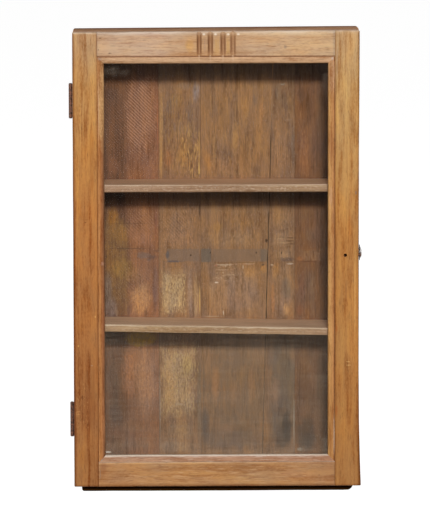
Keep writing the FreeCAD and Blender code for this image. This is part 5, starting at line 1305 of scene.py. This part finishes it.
plank5 = {
    **plankCommon, "seed": 19.5,
    # the tone darkens towards the right stile: painted shade from the door frame
    "tones": [(152, (0.223, 0.109, 0.057)), (188, (0.214, 0.104, 0.055)), (206, (0.142, 0.076, 0.046)),
              (258, (0.123, 0.067, 0.041))],
    "patches": seen(plankView, [
        (306, 100, 12, 17, (100, 71, 52), 0.8), (302.5, 108, 5, 12, (98, 64, 42), 0.5),
        (304, 150, 9, 30, (134, 93, 65), 0.8), (312, 140, 6, 30, (120, 86, 62), 0.6),
        # the spot at 320 across is painted shade, the dark strip beside the right stile
        (320, 120, 5, 40, (92, 74, 62), 0.45), (306, 214, 11, 9, (110, 82, 59), 0.6),
        (310, 234, 8, 10, (118, 90, 68), 0.5),
        ("block", 311, 254.5, 15, 7, (140, 109, 84), 0.4, 0.6, 0.3),
        (309, 248, 14, 2.2, (140, 96, 62), 0.5, 0.6, 0.3), (300, 258, 5, 3, (150, 96, 60), 0.5),
        ("block", 306, 290, 11, 24, (118, 89, 70), 0.7, 0.6, 0.3),
        (302, 286, 3.5, 24, (128, 86, 62), 0.6), (300, 309, 4, 7, (132, 85, 58), 0.65),
        (312, 290, 5, 28, (106, 86, 70), 0.5), (304, 366, 8, 22, (128, 95, 69), 0.7),
        (310, 356, 8, 12, (112, 86, 66), 0.6), (306, 434, 13, 24, (92, 77, 65), 0.9, 0.6),
        # the spot at 320 across is painted shade, the dark strip beside the right stile
        (312, 405, 8, 20, (116, 90, 70), 0.6), (320, 395, 6, 55, (100, 83, 67), 0.6),
    ]),
    "marks": [
        ("block", 180, -650, 32, 128, (0.16, 0.095, 0.062), 0.22, 0.3, 0.25),
        ("oval", 196, -706, 16, 44, (0.24, 0.13, 0.075), 0.5, 0.8, 0.5),
        ("oval", 176, -754, 24, 22, (0.09, 0.068, 0.055), 0.55, 0.8, 0.5),
        *seen(plankView, [
            (309, 260.4, 13, 1, (98, 64, 44), 0.65, 0.6, 0.3),
            (300, 449, 4.5, 2.6, (160, 150, 134), 0.5, 0.7, 0.6),
            (307, 290, 0.8, 30, (70, 48, 34), 0.5, 0.7, 0.15),
            (322, 240, 0.8, 34, (60, 44, 34), 0.4, 0.7, 0.15),
            (309, 247.4, 15, 0.6, (98, 68, 50), 0.5, 0.6, 0.3),
        ]),
    ],
    "flecks": seenFlecks(plankView, [
        (308, 140, 14, 60, 2, 20, (86, 54, 34), 0.45, 0.57),
        (306, 280, 12, 40, 2, 18, (84, 58, 42), 0.35, 0.57),
        (306, 148, 10, 30, 2, 18, (156, 106, 70), 0.35, 0.57),
    ]),
}
for i, look in enumerate((plank1, plank2, plank3, plank4, plank5)):
    dressWood("back_plank_%d" % (i + 1), look)

stripRun = {"foot": -817, "top": 22, "steps": 140, "sunk": 0.15, "wave": 40}
jointDirt = {"seed": 20.3,
             "tones": [(-820, (0.16, 0.1, 0.065)), (-530, (0.15, 0.085, 0.05)), (20, (0.15, 0.08, 0.045))],
             "shine": 0.02,
             "rough": (0.9, 1.0), "near": -9.85, "far": -2.5, "wide": 0.7, "places": (-107.0, -26.9, 152.0)}
# a dark fill inside the crack: dirt, and painted shade in the open gap
crackDirtAndShade = {"seed": 20.9, "tones": [(-820, (0.055, 0.034, 0.022)), (20, (0.05, 0.028, 0.017))],
             "shine": 0.02, "rough": (0.9, 1.0),
             "near": -8.9, "far": -2.5, "foot": 88.9, "head": 112.2, "wide": 2.2}
crackEdges = {"seed": 17.3,
              "tones": [(-820, (0.22, 0.14, 0.085)), (-530, (0.28, 0.16, 0.085)),
                        (20, (0.29, 0.158, 0.085))],
              "rough": (0.75, 0.95), "shine": 0.06, "near": -9.95, "far": -5.0, "open": 0.85,
              "openLow": 0.5, "lowUnder": -530, "closedOver": -112, "closing": 70, "sway": 0.45,
              "swayLong": 26, "tearLong": 21}


def addStrip(mesh, sides, near, far):
    rows = []
    for n in range(stripRun["steps"] + 1):
        z = stripRun["foot"] + (stripRun["top"] - stripRun["foot"]) * n / stripRun["steps"]
        left, right = sides(z)
        sunk = near + stripRun["sunk"] * noise.noise(Vector((left, z / stripRun["wave"], 1)))
        places = ((left, sunk), (right, sunk), (right, far), (left, far))
        rows.append([mesh.verts.new((x * mm, y * mm, z * mm)) for x, y in places])
    for one, two in zip(rows, rows[1:]):
        for i in range(4):
            j = (i + 1) % 4
            mesh.faces.new((one[i], one[j], two[j], two[i]))
    mesh.faces.new(rows[0])
    mesh.faces.new(rows[-1])


def makeStrips(name, look, lines):
    mesh = bmesh.new()
    for sides in lines:
        addStrip(mesh, sides, look["near"], look["far"])
    bmesh.ops.recalc_face_normals(mesh, faces=mesh.faces)
    piece = addPiece(name, meshOf(name, mesh), "carcass", None)
    wearCoat(piece, woodFinish(name + "Wood", look))


def crackAt(z):
    share = (z - sideBoards["foot"]) / (sideBoards["top"] - sideBoards["foot"])
    return crackDirtAndShade["foot"] + (crackDirtAndShade["head"] - crackDirtAndShade["foot"]) * share


def crackLine(z, side):
    e = crackEdges
    gap = e["open" if z > e["lowUnder"] else "openLow"]
    gap *= 0.85 + 0.7 * noise.noise(Vector((side, z / e["tearLong"], 3)))
    gap *= min(1, max(0, (e["closedOver"] - z) / e["closing"]))
    return crackAt(z) + e["sway"] * noise.noise(Vector((0, z / e["swayLong"], 8))) + side * max(0.0, gap)


half, crackHalf = jointDirt["wide"] / 2, crackDirtAndShade["wide"] / 2
makeStrips("jointDirt", jointDirt, [lambda z, x=x: (x - half, x + half) for x in jointDirt["places"]])
makeStrips("crackDirtAndShade", crackDirtAndShade, [lambda z: (crackAt(z) - crackHalf, crackAt(z) + crackHalf)])
makeStrips("crackEdges", crackEdges, [lambda z: (crackAt(z) - crackHalf, crackLine(z, -1)),
                                      lambda z: (crackLine(z, 1), crackAt(z) + crackHalf)])
print("back planks dressed")


# iron

ironLook = {"dark": (0.05, 0.028, 0.018), "rust": (0.21, 0.085, 0.05), "rough": (0.5, 0.8),
            "metal": (0.8, 0.2)}
ironGrain = {"spots": 260, "pits": 1300, "bump": 0.35, "bumpDeep": 0.0004}


def ironFinish(name, look):
    mat, tree, place = startMaterial(name)
    spots = noiseOf(tree, vecCalc(tree, "MULTIPLY", place, (ironGrain["spots"],) * 3), 4.0, 0.6)
    pits = noiseOf(tree, vecCalc(tree, "MULTIPLY", place, (ironGrain["pits"],) * 3), 2.0)
    shader = tree.nodes.new("ShaderNodeBsdfPrincipled")
    rust = spanOf(tree, spots, 0.4, 0.65)
    plug(tree, mixTone(tree, rust, look["dark"], look["rust"]), shader.inputs["Base Color"])
    plug(tree, spanOf(tree, rust, 0, 1, *look["rough"]), shader.inputs["Roughness"])
    plug(tree, spanOf(tree, rust, 0, 1, *look["metal"]), shader.inputs["Metallic"])
    addBump(tree, shader, calc(tree, "ADD", spots, pits), ironGrain["bump"], ironGrain["bumpDeep"])
    closeMaterial(tree, shader)
    return mat


hookLook = {**ironLook, "dark": (0.03, 0.027, 0.025), "rust": (0.075, 0.052, 0.04), "rough": (0.35, 0.6)}
iron, hookIron = ironFinish("oldIron", ironLook), ironFinish("hookIron", hookLook)
for node in nodes:
    if any(word in node for word in ("nails", "hinge", "hook", "catch", "pins")):
        wearCoat(nodes[node], hookIron if "hook" in node else iron)
wearCoat(bpy.data.objects["carcassNails"], iron)
print("iron dressed")


# glass

glassLook = {
    "tint": (0.97, 0.975, 0.965), "gloss": 0.03, "edgeOn": 0.06, "wipes": 0.34, "dust": (0.53, 0.42, 0.32),
    # share of dust by height
    "film": [(-772, 0.064), (-700, 0.05), (-545, 0.046), (-505, 0.022), (-430, 0.014), (-300, 0.006),
             (0, 0.008)],
    # x, z, half sizes, share
    "smears": [(-192, -38, 34, 12, 0.06), (204, -56, 12, 34, 0.05), (-200, -750, 16, 22, 0.08),
               (150, -752, 50, 14, 0.05), (204, -745, 10, 30, 0.07), (60, -757, 160, 7, 0.06)],
    "cloudScale": (30, 30, 18), "wipeScale": (9, 9, 210), "tearScale": (70, 70, 70),
    "speckScale": (420, 420, 420),
}


def glassFinish(look):
    mat, tree, place = startMaterial("oldGlass")
    clear = tree.nodes.new("ShaderNodeBsdfTransparent")
    clear.inputs["Color"].default_value = (*look["tint"], 1)
    sheen = tree.nodes.new("ShaderNodeBsdfGlossy")
    sheen.inputs["Roughness"].default_value = look["gloss"]
    facing = tree.nodes.new("ShaderNodeLayerWeight")
    facing.inputs["Blend"].default_value = look["edgeOn"]
    pane = mixShader(tree, facing.outputs["Fresnel"], clear.outputs[0], sheen.outputs[0])
    dust = tree.nodes.new("ShaderNodeBsdfDiffuse")
    dust.inputs["Color"].default_value = (*look["dust"], 1)

    def glassNoise(scale, *settings, **more):
        return noiseOf(tree, vecCalc(tree, "MULTIPLY", place, look[scale]), *settings, **more)

    cloud = glassNoise("cloudScale", 4.0, 0.6)
    low, high = look["film"][0][0], look["film"][-1][0]
    film = rampOf(tree, spanOf(tree, splitOf(tree, place)[2], low * mm, high * mm, soft=False),
                  [((at - low) / (high - low), (share,) * 3) for at, share in look["film"]])
    film = calc(tree, "MULTIPLY", film, spanOf(tree, cloud, 0.3, 0.75, 0.8, 1.2))
    wipes = glassNoise("wipeScale", 3.0, 0.6)
    film = calc(tree, "MULTIPLY", film, spanOf(tree, wipes, 0.3, 0.7, 1 - look["wipes"], 1 + look["wipes"]))
    ragged = vecCalc(tree, "SUBTRACT", glassNoise("tearScale", 4.0, colour=True), (0.5, 0.5, 0.5))
    specks = spanOf(tree, glassNoise("speckScale", 3.0, 0.7), 0.42, 0.72, 0.3, 1.8)
    for a, b, halfA, halfB, share in look["smears"]:
        smear = patchMask(tree, place, ragged, "xz", "oval", a, b, halfA, halfB, share, 0.9, 0.7)
        film = calc(tree, "MULTIPLY_ADD", smear, specks, film)
    closeMaterial(tree, mixShader(tree, film, pane.outputs[0], dust.outputs[0]))
    return mat


wearCoat(nodes["glass_pane"], glassFinish(glassLook))
print("glass dressed")
